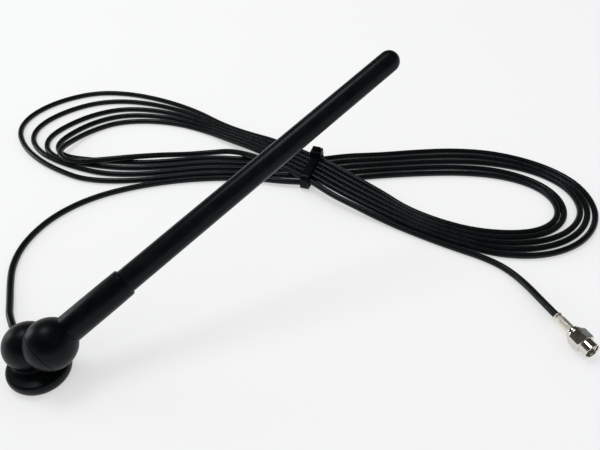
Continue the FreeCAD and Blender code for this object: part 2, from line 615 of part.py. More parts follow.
def make_coupling_nut():
    """Turning nut: ring at the back, chamfered hexagon, round collar, wide bore."""
    flange_end = FERRULE_LEN + BODY_FLANGE_LEN
    low = flange_end + NUT_BACK_GAP
    hex_low = low + NUT_RING_LEN
    hex_high = hex_low + NUT_HEX_LEN
    high = low + NUT_LEN
    corner = NUT_AF / math.sqrt(3)
    flat = NUT_AF / 2
    prism = hexagon(NUT_AF, hex_low, hex_high, NUT_TURN)
    crown = turned([(0, hex_low), (flat, hex_low), (corner, hex_low + 0.4),
                    (corner, hex_high - 0.5), (flat - 0.1, hex_high), (0, hex_high)])
    solid = prism.common(crown)
    solid = solid.fuse([disc(NUT_RING_R, low, hex_low), disc(NUT_COLLAR_R, hex_high, high)])
    clip_low = flange_end + CLIP_OFFSET
    room = turned([(0, low), (BODY_R + RUNNING, low), (BODY_R + RUNNING, clip_low - 0.05),
                   (NUT_BORE_R + 0.25, clip_low - 0.05), (NUT_BORE_R + 0.25, clip_low + CLIP_ROOM + 0.05),
                   (NUT_BORE_R, clip_low + CLIP_ROOM + 0.05), (NUT_BORE_R, high - 0.35),
                   (NUT_BORE_R + 0.25, high), (0, high)])
    return placed(solid.cut(room).removeSplitter(), PLUG_START, PLUG_DIRECTION)


def make_lead():
    """Single lead from the grommet's end to the hank."""
    start = BOSS_END + GROMMET_LEN
    points = [exit_place(start), exit_place(start + LEAD_FIRST_RUN)]
    points += [V(*point) for point in LEAD_ROUTE]
    print("lead starts at %.2f %.2f %.2f, then %.2f %.2f %.2f" % (tuple(points[0]) + tuple(points[1])))
    return tube(points, CABLE_R, "cable_lead")


def make_tail():
    """Free end of the lead, from the hank into the ferrule."""
    points = [V(*point) for point in TAIL_ROUTE]
    points.append(PLUG_START - PLUG_DIRECTION * TAIL_LAST_RUN)
    points.append(PLUG_START + PLUG_DIRECTION * JACKET_DEPTH)
    print("tail ends at", *("%.2f %.2f %.2f" % tuple(point) for point in points[-2:]))
    return tube(points, CABLE_R, "cable_tail")


def main():
    """Builds and writes every piece."""
    os.makedirs("parts", exist_ok=True)
    pieces = {"foot_housing": make_foot(), "lobe_cap": make_lobe_cap()}
    pieces.update(make_magnet_parts())
    pieces.update(make_pivot_parts())
    pieces.update(make_head_parts())
    pieces["whip_sleeve"] = make_sleeve()
    pieces["whip_cover"] = make_cover()
    pieces.update(make_radiator_parts())
    pieces["cable_core"] = core_sweep(CORE_R)
    pieces["cable_grommet"] = make_grommet()
    pieces["cable_lead"] = make_lead()
    pieces["cable_hank"] = make_hank()
    pieces["cable_tie"] = make_tie()
    pieces["cable_tail"] = make_tail()
    pieces.update(make_plug_parts())
    pieces["coupling_nut"] = make_coupling_nut()
    for name, shape in pieces.items():
        box = shape.BoundBox
        print("%-20s solids %d valid %s volume %.1f  x %.1f..%.1f y %.1f..%.1f z %.2f..%.2f" % (
            name, len(shape.Solids), shape.isValid(), shape.Volume,
            box.XMin, box.XMax, box.YMin, box.YMax, box.ZMin, box.ZMax))
        export(name, shape)


main()
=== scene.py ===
"""Dresses a magnetic whip antenna, its coiled coaxial lead and its screw-on plug.

Sizes and places of the pieces are named in millimetres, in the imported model's own frame: the
origin is the middle of the foot's underside and +Z points up. mm() and MM turn them into metres.
"""

import logging
import math
from dataclasses import dataclass, field
from enum import Enum
from typing import Iterable, Sequence

import bpy
from mathutils import Matrix, Vector


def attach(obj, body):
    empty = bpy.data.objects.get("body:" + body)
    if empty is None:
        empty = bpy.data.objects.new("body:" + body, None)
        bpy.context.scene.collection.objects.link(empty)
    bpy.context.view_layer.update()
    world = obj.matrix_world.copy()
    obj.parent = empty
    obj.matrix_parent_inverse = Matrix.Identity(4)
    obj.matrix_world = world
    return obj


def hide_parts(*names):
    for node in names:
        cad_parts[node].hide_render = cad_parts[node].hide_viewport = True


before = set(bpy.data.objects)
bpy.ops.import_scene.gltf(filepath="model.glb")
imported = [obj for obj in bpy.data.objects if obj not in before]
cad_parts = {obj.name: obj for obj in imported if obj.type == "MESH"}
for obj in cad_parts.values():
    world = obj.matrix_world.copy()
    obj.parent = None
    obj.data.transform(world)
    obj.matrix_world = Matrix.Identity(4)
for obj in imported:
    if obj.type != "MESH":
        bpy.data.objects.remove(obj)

LOG = logging.getLogger("antenna")
MM = 0.001
FULL_TURN = 2 * math.pi

Place = tuple[float, float, float]


class Body(Enum):
    """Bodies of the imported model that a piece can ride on."""

    BASE = "base"
    WHIP = "whip"
    COUPLING = "coupling"


class Slot(Enum):
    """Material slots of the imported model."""

    BODY = "black_body"
    WHIP = "black_whip"
    RUBBER = "black_rubber"
    TIE = "tie_nylon"
    NICKEL = "nickel_plate"
    WHITE = "white_plastic"
    GOLD = "gold_pin"


# Places, directions and sizes that several pieces share

PLUG_START: Place = (212.6, 25.5, 4.649)
PLUG_DIRECTION: Place = (0.392, -0.92, 0.0)
BALL_CENTRE: Place = (8.2, -0.2, 17.4)
LOWER_BALL_CENTRE: Place = (-2.3, 2.1, 13.4)
WHIP_DIRECTION: Place = (0.750, 0.519, 0.411)
EXIT_DIRECTION: Place = (-0.574, 0.819, 0.0)
BOSS_START: Place = (-5.504, 2.802, 3.9)
BOSS_LENGTH = 7.205
LOWER_BALL_RADIUS = 9.7
CAP_FACE = 8.2
SLEEVE_SEAT = 7.6
TUBE_FLOOR = 11.5

# How far cutting shapes go past a piece, how near two points count as one, how far apart doubled
# vertices may be, and the part of its range that a noise mostly keeps to

PAST_THE_PIECE = 1.0
SAME_PLACE = 0.001
DOUBLED = 0.002
NOISE_RANGE = (0.3, 0.7)


def mm(*values: float) -> Vector:
    """A place given in millimetres."""
    return Vector(values) * MM


# Modelling helpers


class Bench:
    """Work shared by all pieces: selecting, entering edit mode, applying, smoothing."""

    @staticmethod
    def clear() -> None:
        """Leaves edit mode and deselects everything."""
        if bpy.context.object is not None and bpy.context.object.mode != "OBJECT":
            bpy.ops.object.mode_set(mode="OBJECT")
        bpy.ops.object.select_all(action="DESELECT")

    @staticmethod
    def take(piece: bpy.types.Object) -> None:
        """Makes one piece the only selected and active one."""
        Bench.clear()
        piece.select_set(True)
        bpy.context.view_layer.objects.active = piece

    @staticmethod
    def edit(select: str = "DESELECT", mode: str = "VERT") -> None:
        """Enters edit mode on the active piece.

        Args:
            select: What happens to the selection, SELECT or DESELECT.
            mode: The kind of element that is selected, VERT, EDGE or FACE.
        """
        bpy.ops.object.mode_set(mode="EDIT")
        bpy.ops.mesh.select_mode(type=mode)
        bpy.ops.mesh.select_all(action=select)

    @staticmethod
    def leave() -> None:
        """Leaves edit mode."""
        bpy.ops.object.mode_set(mode="OBJECT")

    @staticmethod
    def apply(piece: bpy.types.Object) -> None:
        """Applies all modifiers of a piece, in their order."""
        Bench.take(piece)
        for modifier in list(piece.modifiers):
            bpy.ops.object.modifier_apply(modifier=modifier.name)

    @staticmethod
    def set_down(piece: bpy.types.Object, place: Matrix) -> None:
        """Moves a piece to its place and writes the place into its mesh.

        Args:
            piece: A piece built around the origin along +Z.
            place: Where the origin and +Z of that piece go.
        """
        Bench.take(piece)
        piece.matrix_world = place
        bpy.ops.object.transform_apply(location=True, rotation=True, scale=True)

    @staticmethod
    def smooth(piece: bpy.types.Object, angle: float = 38.0) -> None:
        """Shades a piece smooth, except across edges sharper than an angle in degrees."""
        Bench.take(piece)
        bpy.ops.object.shade_smooth_by_angle(angle=math.radians(angle))

    @staticmethod
    def even_out(piece: bpy.types.Object) -> None:
        """Lets the large faces rule the shading, so that flats with rounded edges stay flat."""
        weigh = piece.modifiers.new("weigh", "WEIGHTED_NORMAL")
        weigh.keep_sharp = True
        Bench.apply(piece)

    @staticmethod
    def close(piece: bpy.types.Object) -> None:
        """Merges doubled vertices and turns all faces outwards."""
        Bench.take(piece)
        Bench.edit("SELECT")
        bpy.ops.mesh.remove_doubles(threshold=DOUBLED * MM)
        bpy.ops.mesh.normals_make_consistent(inside=False)
        Bench.leave()

    @staticmethod
    def carve(piece: bpy.types.Object, tool: bpy.types.Object, how: str = "DIFFERENCE") -> None:
        """Cuts or joins a piece with a tool, which is then removed.

        Args:
            piece: The piece that stays.
            tool: The mesh that cuts it or is joined to it.
            how: DIFFERENCE, UNION or INTERSECT.
        """
        Bench.take(piece)
        cut = piece.modifiers.new("carve", "BOOLEAN")
        cut.operation = how
        cut.solver = "EXACT"
        cut.object = tool
        bpy.ops.object.modifier_apply(modifier=cut.name)
        bpy.data.objects.remove(tool)

    @staticmethod
    def cut_off(piece: bpy.types.Object, place: Vector, outward: Vector) -> None:
        """Cuts a piece off square at a plane and closes the cut.

        Args:
            piece: The piece, in its final place.
            place: A point on the plane.
            outward: Normal of the plane, towards the part that goes.
        """
        Bench.take(piece)
        Bench.edit("SELECT")
        bpy.ops.mesh.bisect(plane_co=place, plane_no=outward, use_fill=True, clear_outer=True)
        Bench.leave()


def standing(origin: Vector, direction: Vector) -> Matrix:
    """Place that puts a piece built along +Z at an origin, along a direction."""
    turn = Vector((0, 0, 1)).rotation_difference(direction)
    return Matrix.Translation(origin) @ turn.to_matrix().to_4x4()


def swivel_axis() -> Vector:
    """Direction of the swivel axis, from the fixed ball to the turning ball."""
    return (Vector(BALL_CENTRE) - Vector(LOWER_BALL_CENTRE)).normalized()


def plug_place() -> Matrix:
    """Frame of the plug: its start, with +Z towards its mouth."""
    return standing(mm(*PLUG_START), Vector(PLUG_DIRECTION))


@dataclass(frozen=True)
class Corner:
    """One corner of a turned outline: its radius, its height and how round it is, in millimetres."""

    radius: float
    height: float
    round: float = 0.0
    steps: int = 4


@dataclass
class Turning:
    """A turned piece: an outline in the XZ plane, spun round Z.

    Attributes:
        name: Name of the piece.
        corners: The outline's corners, in order.
        closed: True if the last corner joins the first, as on a ring.
        steps: How many stretches the full turn has.
    """

    name: str
    corners: Sequence[Corner]
    closed: bool = False
    steps: int = 96

    def make(self) -> bpy.types.Object:
        """Draws the outline corner by corner, rounds its corners and spins it.

        Returns:
            The finished mesh object, around the origin.
        """
        Bench.clear()
        first = self.corners[0]
        bpy.ops.mesh.primitive_plane_add(size=MM, location=mm(first.radius, 0, first.height))
        piece = bpy.context.object
        piece.name = self.name
        bpy.ops.object.transform_apply(location=True, rotation=True, scale=True)
        Bench.edit("SELECT")
        bpy.ops.mesh.merge(type="CENTER")
        for before, corner in zip(self.corners, self.corners[1:]):
            step = mm(corner.radius - before.radius, 0, corner.height - before.height)
            bpy.ops.mesh.extrude_region_move(TRANSFORM_OT_translate={"value": step})
        if self.closed:
            self._pick(piece, [self.corners[0], self.corners[-1]])
            bpy.ops.mesh.edge_face_add()
        self._round(piece)
        bpy.ops.mesh.select_all(action="SELECT")
        bpy.ops.mesh.spin(steps=self.steps, angle=FULL_TURN, center=(0, 0, 0), axis=(0, 0, 1))
        Bench.leave()
        Bench.close(piece)
        return piece

    def _pick(self, piece: bpy.types.Object, corners: Iterable[Corner]) -> None:
        """Selects the outline's vertices at some of its corners.

        Args:
            piece: The outline's mesh, in edit mode.
            corners: The corners to select.
        """
        places = [mm(corner.radius, 0, corner.height) for corner in corners]
        Bench.leave()
        for vertex in piece.data.vertices:
            vertex.select = any((vertex.co - place).length < SAME_PLACE * MM for place in places)
        for edge in piece.data.edges:
            edge.select = False
        bpy.ops.object.mode_set(mode="EDIT")

    def _round(self, piece: bpy.types.Object) -> None:
        """Rounds the corners, one radius at a time."""
        kinds = {(corner.round, corner.steps) for corner in self.corners if corner.round > 0}
        for reach, steps in sorted(kinds):
            self._pick(piece, [c for c in self.corners if (c.round, c.steps) == (reach, steps)])
            bpy.ops.mesh.bevel(offset=reach * MM, segments=steps, affect="VERTICES")


# Finishes


class Sheet:
    """Node sheet of one material."""

    def __init__(self, name: str) -> None:
        """Starts a material with an empty principled shader.

        Args:
            name: Name of the material.
        """
        self.material = bpy.data.materials.new(name)
        self.material.use_nodes = True
        self.nodes = self.material.node_tree.nodes
        self.links = self.material.node_tree.links
        self.shader = self.nodes["Principled BSDF"]
        self.place = self.nodes.new("ShaderNodeTexCoord").outputs["Object"]

    def set(self, socket: str, value: float | Sequence[float]) -> None:
        """Sets one uniform value on the shader itself."""
        if hasattr(value, "__len__") and len(value) == 3:
            value = (*value, 1.0)
        self.shader.inputs[socket].default_value = value

    def noise(self, size: float, detail: float = 2.0, rough: float = 0.5,
              source: bpy.types.NodeSocket | None = None) -> bpy.types.NodeSocket:
        """Noise whose grains are about a given size.

        Args:
            size: Size of a grain in metres.
            detail: How many finer layers it has.
            rough: How strong the finer layers are.
            source: Coordinates, or None for the object's own.

        Returns:
            The noise's value.
        """
        node = self.nodes.new("ShaderNodeTexNoise")
        node.inputs["Scale"].default_value = 1.0 / size
        node.inputs["Detail"].default_value = detail
        node.inputs["Roughness"].default_value = rough
        self.links.new(source or self.place, node.inputs["Vector"])
        return node.outputs["Fac"]

    def spread(self, value: bpy.types.NodeSocket, low: float, high: float) -> bpy.types.NodeSocket:
        """Maps a value from the middle of its range to a range from low to high."""
        node = self.nodes.new("ShaderNodeMapRange")
        node.inputs["From Min"].default_value, node.inputs["From Max"].default_value = NOISE_RANGE
        node.inputs["To Min"].default_value = low
        node.inputs["To Max"].default_value = high
        self.links.new(value, node.inputs["Value"])
        return node.outputs["Result"]

    def colours(self, value: bpy.types.NodeSocket, low: Sequence[float],
                high: Sequence[float]) -> bpy.types.NodeSocket:
        """Ramp between two colours over the middle of a value's range."""
        node = self.nodes.new("ShaderNodeValToRGB")
        for stop, position, colour in zip(node.color_ramp.elements, NOISE_RANGE, (low, high)):
            stop.position = position
            stop.color = (*colour, 1.0)
        self.links.new(value, node.inputs["Fac"])
        return node.outputs["Color"]

    def stretched(self, matrix: Matrix, scale: Sequence[float]) -> bpy.types.NodeSocket:
        """Coordinates in a piece's own frame, scaled along its axes.

        Args:
            matrix: Frame of the piece, as set by standing().
            scale: Factors along the piece's own X, Y and Z.

        Returns:
            The scaled coordinates.
        """
        inverse = matrix.inverted()
        shift = self.nodes.new("ShaderNodeMapping")
        shift.vector_type = "POINT"
        shift.inputs["Location"].default_value = inverse.translation
        shift.inputs["Rotation"].default_value = inverse.to_euler("XYZ")
        self.links.new(self.place, shift.inputs["Vector"])
        grow = self.nodes.new("ShaderNodeMapping")
        grow.vector_type = "POINT"
        grow.inputs["Scale"].default_value = scale
        self.links.new(shift.outputs["Vector"], grow.inputs["Vector"])
        return grow.outputs["Vector"]

    def bump(self, height: bpy.types.NodeSocket, depth: float,
             before: bpy.types.NodeSocket | None = None) -> bpy.types.NodeSocket:
        """Adds a bump layer and gives its normal.

        Args:
            height: Height of the surface, from 0 to 1.
            depth: Depth of the bump in metres.
            before: Normal of the layer under it.

        Returns:
            The bumped normal.
        """
        node = self.nodes.new("ShaderNodeBump")
        node.inputs["Strength"].default_value = 1.0
        node.inputs["Distance"].default_value = depth
        self.links.new(height, node.inputs["Height"])
        if before is not None:
            self.links.new(before, node.inputs["Normal"])
        return node.outputs["Normal"]

    def join(self, value: bpy.types.NodeSocket, socket: str) -> None:
        """Links a value to a socket of the shader."""
        self.links.new(value, self.shader.inputs[socket])


@dataclass(frozen=True)
class Moulding:
    """Injection-moulded plastic or rubber with a fine eroded grain.

    Attributes:
        name: Name of the material.
        dark: Colour in the hollows of the variation.
        light: Colour on its high places.
        gloss: Lowest and highest roughness.
        grain: Size of the grain in millimetres.
        depth: Depth of the grain in millimetres.
        sheen: Colour of the reflections.
        specular: Strength of the reflections.
        cloud: Size of the colour's variation in millimetres.
        cloud_depth: Depth of the same variation in millimetres.
        stain: Size of the gloss's variation in millimetres.
    """

    name: str
    dark: Place
    light: Place
    gloss: tuple[float, float] = (0.3, 0.42)
    grain: float = 0.35
    depth: float = 0.006
    sheen: Place = (0.78, 0.94, 1.0)
    specular: float = 0.15
    cloud: float = 6.0
    cloud_depth: float = 0.02
    stain: float = 2.5

    def make(self) -> bpy.types.Material:
        """Builds the material."""
        sheet = Sheet(self.name)
        cloud = sheet.noise(self.cloud * MM, 3.0)
        fine = sheet.noise(self.grain * MM, 4.0, 0.6)
        sheet.join(sheet.colours(cloud, self.dark, self.light), "Base Color")
        sheet.join(sheet.spread(sheet.noise(self.stain * MM, 4.0, 0.6), *self.gloss), "Roughness")
        wave = sheet.bump(cloud, self.cloud_depth * MM)
        sheet.join(sheet.bump(fine, self.depth * MM, wave), "Normal")
        sheet.set("Specular IOR Level", self.specular)
        sheet.set("Specular Tint", self.sheen)
        return sheet.material


@dataclass(frozen=True)
class Jacket:
    """Extruded cable jacket: smooth, with faint draw lines and slight unevenness.

    Attributes:
        name: Name of the material.
        dark: Darker colour of the variation.
        light: Lighter colour of the variation.
        gloss: Lowest and highest roughness.
        wave: Size of the slow unevenness in millimetres.
        wave_depth: Depth of it in millimetres.
        ripple: Size of the fine unevenness in millimetres.
        ripple_depth: Depth of it in millimetres.
        stain: Size of the gloss's variation in millimetres.
        sheen: Colour of the reflections.
        specular: Strength of the reflections.
    """

    name: str
    dark: Place
    light: Place
    gloss: tuple[float, float] = (0.24, 0.38)
    wave: float = 14.0
    wave_depth: float = 0.05
    ripple: float = 1.4
    ripple_depth: float = 0.012
    stain: float = 5.0
    sheen: Place = (0.8, 0.95, 1.0)
    specular: float = 0.24

    def make(self) -> bpy.types.Material:
        """Builds the material."""
        sheet = Sheet(self.name)
        long_waves = sheet.noise(self.wave * MM, 2.0)
        ripple = sheet.noise(self.ripple * MM, 3.0, 0.55)
        sheet.join(sheet.colours(long_waves, self.dark, self.light), "Base Color")
        sheet.join(sheet.spread(sheet.noise(self.stain * MM, 4.0, 0.6), *self.gloss), "Roughness")
        soft = sheet.bump(long_waves, self.wave_depth * MM)
        sheet.join(sheet.bump(ripple, self.ripple_depth * MM, soft), "Normal")
        sheet.set("Specular IOR Level", self.specular)
        sheet.set("Specular Tint", self.sheen)
        return sheet.material


@dataclass(frozen=True)
class TurnedMetal:
    """Plated metal with fine turning lines round an axis.

    Attributes:
        name: Name of the material.
        dark: Colour of the duller plating.
        light: Colour of the brighter plating.
        origin: A point on the axis, in millimetres.
        axis: Direction of the axis.
        gloss: Lowest and highest roughness.
        pitch: Distance between turning lines in millimetres.
        depth: Depth of the turning lines in millimetres.
        stain: Size of the plating's variation in millimetres.
        squeeze: Factor across the axis that draws the noise out into rings.
    """

    name: str
    dark: Place
    light: Place
    origin: Place = (0.0, 0.0, 0.0)
    axis: Place = (0.0, 0.0, 1.0)
    gloss: tuple[float, float] = (0.1, 0.18)
    pitch: float = 0.12
    depth: float = 0.001
    stain: float = 3.0
    squeeze: float = 0.02

    def make(self) -> bpy.types.Material:
        """Builds the material."""
        sheet = Sheet(self.name)
        place = standing(mm(*self.origin), Vector(self.axis))
        rings = sheet.stretched(place, (self.squeeze, self.squeeze, 1.0))
        lines = sheet.noise(self.pitch * MM, 3.0, 0.6, rings)
        stain = sheet.noise(self.stain * MM, 4.0, 0.55)
        sheet.join(sheet.colours(stain, self.dark, self.light), "Base Color")
        sheet.join(sheet.spread(stain, *self.gloss), "Roughness")
        sheet.join(sheet.bump(lines, self.depth * MM), "Normal")
        sheet.set("Metallic", 1.0)
        return sheet.material


@dataclass(frozen=True)
class Sintered:
    """Rough pressed or moulded material, such as a magnet or a white plastic.

    Attributes:
        name: Name of the material.
        dark: Darker colour of the variation.
        light: Lighter colour of the variation.
        gloss: Lowest and highest roughness.
        grain: Size of the grain in millimetres.
        depth: Depth of the grain in millimetres.
    """

    name: str
    dark: Place
    light: Place
    gloss: tuple[float, float] = (0.45, 0.6)
    grain: float = 0.5
    depth: float = 0.01

    def make(self) -> bpy.types.Material:
        """Builds the material."""
        sheet = Sheet(self.name)
        fine = sheet.noise(self.grain * MM, 5.0, 0.65)
        sheet.join(sheet.colours(fine, self.dark, self.light), "Base Color")
        sheet.join(sheet.spread(fine, *self.gloss), "Roughness")
        sheet.join(sheet.bump(fine, self.depth * MM), "Normal")
        return sheet.material


class Finishes:
    """All the finishes of the antenna, made once and shared."""

    def __init__(self) -> None:
        """Makes every material."""
        near_black = (0.0011, 0.0013, 0.0017)
        blue_black = (0.0026, 0.0031, 0.0038)
        rod_black = (0.0022, 0.0031, 0.0034)
        rod_grey = (0.0046, 0.0062, 0.0068)
        plug = {"origin": PLUG_START, "axis": PLUG_DIRECTION}
        self.body = Moulding("moulded_black", near_black, blue_black, grain=0.28, depth=0.01).make()
        self.whip = Moulding("whip_black", rod_black, rod_grey, (0.26, 0.36), 0.6, 0.002,
                             specular=0.13).make()
        self.jacket = Jacket("cable_jacket", rod_black, rod_grey).make()
        self.tie = Moulding("tie_nylon", near_black, blue_black, (0.3, 0.42), 0.8, 0.004).make()
        self.rubber = Moulding("foot_rubber", (0.008, 0.008, 0.008), (0.014, 0.014, 0.014),
                               (0.6, 0.75), 0.3, 0.02).make()
        self.nickel = TurnedMetal("nickel_plate", (0.66, 0.64, 0.6), (0.76, 0.74, 0.7), **plug).make()
        self.crimp = TurnedMetal("crimp_plate", (0.8, 0.74, 0.64), (0.88, 0.83, 0.74),
                                 gloss=(0.48, 0.58), **plug).make()
        self.gold = TurnedMetal("gold_plate", (0.7, 0.42, 0.26), (0.9, 0.6, 0.4), **plug).make()
        self.bronze = TurnedMetal("spring_bronze", (0.5, 0.33, 0.18), (0.62, 0.42, 0.24), **plug).make()
        self.zinc = TurnedMetal("zinc_plate", (0.5, 0.5, 0.52), (0.68, 0.68, 0.7),
                                gloss=(0.25, 0.4)).make()
        self.brass = TurnedMetal("turned_brass", (0.6, 0.45, 0.2), (0.76, 0.6, 0.3),
                                 BALL_CENTRE, WHIP_DIRECTION).make()
        self.copper = TurnedMetal("enamelled_copper", (0.5, 0.2, 0.08), (0.66, 0.3, 0.14),
                                  BALL_CENTRE, WHIP_DIRECTION, pitch=0.6).make()
        self.white = Sintered("white_plastic", (0.74, 0.74, 0.7), (0.84, 0.84, 0.8)).make()
        self.magnet = Sintered("magnet_ferrite", (0.03, 0.03, 0.032), (0.07, 0.07, 0.075)).make()
        self.gasket = Sintered("gasket_rubber", (0.25, 0.05, 0.03), (0.33, 0.08, 0.05)).make()

    def dress_nodes(self) -> None:
        """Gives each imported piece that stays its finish, in its own material slots."""
        plan = {
            self.rubber: ("foot_pad",),
            self.zinc: ("magnet_cup", "cup_screw", "spring_washer", "radiator_rod"),
            self.magnet: ("ring_magnet",),
            self.brass: ("pivot_tube", "pivot_nut", "contact_block", "whip_insert"),
            self.copper: ("matching_coil",),
            self.white: ("coil_former", "rod_spacers", "cable_core"),
            self.bronze: ("nut_clip",),
            self.gasket: ("nut_gasket",),
        }
        for material, names in plan.items():
            for name in names:
                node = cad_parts[name]
                if not node.data.materials:
                    node.data.materials.append(material)
                for slot in node.material_slots:
                    slot.material = material


# Outlines of turned pieces


def arc(centre: Sequence[float], radius: float, start: float, end: float,
        steps: int) -> list[Corner]:
    """Corners along an arc of an outline.

    Args:
        centre: Radius and height of the arc's centre, in millimetres.
        radius: Radius of the arc.
        start: Angle of its first corner in degrees, from the outward direction towards +Z.
        end: Angle of its last corner.
        steps: How many stretches the arc has.

    Returns:
        The corners, with both ends.
    """
    corners = []
    for step in range(steps + 1):
        angle = math.radians(start + (end - start) * step / steps)
        corners.append(Corner(centre[0] + radius * math.cos(angle),
                              centre[1] + radius * math.sin(angle)))
    return corners


def meeting(first: Vector, first_radius: float, second: Vector, second_radius: float) -> Vector:
    """Where two circles of an outline meet, on the side farther from the axis.

    Args:
        first: Centre of one circle, as radius and height.
        first_radius: Its radius.
        second: Centre of the other circle.
        second_radius: Its radius.

    Returns:
        The meeting point, as radius and height.
    """
    gap = second - first
    along = (first_radius ** 2 - second_radius ** 2 + gap.length_squared) / (2 * gap.length)
    aside = math.sqrt(first_radius ** 2 - along ** 2)
    step = gap.normalized()
    middle = first + step * along
    normal = Vector((-step.y, step.x))
    return max(middle + normal * aside, middle - normal * aside, key=lambda place: place.x)


def slope(step: Vector) -> float:
    """Angle of a direction in an outline, in degrees, from outward towards +Z."""
    return math.degrees(math.atan2(step.y, step.x))


def hexagon(name: str, across_flats: float, low: float, high: float,
            turn: float = 0.0) -> bpy.types.Object:
    """Hexagonal prism about Z, in millimetres.

    Args:
        name: Name of the piece.
        across_flats: Distance between opposite flats.
        low: Height of the lower end.
        high: Height of the upper end.
        turn: Angle of one corner from +X in degrees.

    Returns:
        The prism.
    """
    Bench.clear()
    bpy.ops.mesh.primitive_cylinder_add(
        vertices=6, radius=across_flats / math.sqrt(3) * MM, depth=(high - low) * MM,
        location=mm(0, 0, (low + high) / 2), rotation=(0, 0, math.radians(turn + 30)))
    prism = bpy.context.object
    prism.name = name
    bpy.ops.object.transform_apply(location=True, rotation=True, scale=True)
    return prism


def block(name: str, size: Place, centre: Place) -> bpy.types.Object:
    """Rectangular block, in millimetres.

    Args:
        name: Name of the piece.
        size: Its sizes along X, Y and Z.
        centre: Its middle.

    Returns:
        The block.
    """
    Bench.clear()
    bpy.ops.mesh.primitive_cube_add(size=1.0)
    piece = bpy.context.object
    piece.name = name
    piece.scale = mm(*size)
    piece.location = mm(*centre)
    bpy.ops.object.transform_apply(location=True, rotation=True, scale=True)
    return piece


def round_off(piece: bpy.types.Object, reach: float, steps: int) -> None:
    """Rounds all edges of a block that was just made.

    Args:
        piece: The block.
        reach: How far the rounding reaches from the edges, in millimetres.
        steps: How many stretches the rounding has.
    """
    Bench.take(piece)
    Bench.edit("SELECT", "FACE")
    bpy.ops.mesh.bevel(offset=reach * MM, segments=steps)
    Bench.leave()


def dress(piece: bpy.types.Object, material: bpy.types.Material, body: Body, slot: Slot,
          *nodes: str) -> bpy.types.Object:
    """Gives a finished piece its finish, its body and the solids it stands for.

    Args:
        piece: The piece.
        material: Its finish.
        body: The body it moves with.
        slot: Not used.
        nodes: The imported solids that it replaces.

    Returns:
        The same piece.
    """
    piece.data.materials.clear()
    piece.data.materials.append(material)
    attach(piece, body.value)
    if nodes:
        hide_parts(*nodes)
    LOG.info("%s: %d faces", piece.name, len(piece.data.polygons))
    return piece


# The foot and the knuckle


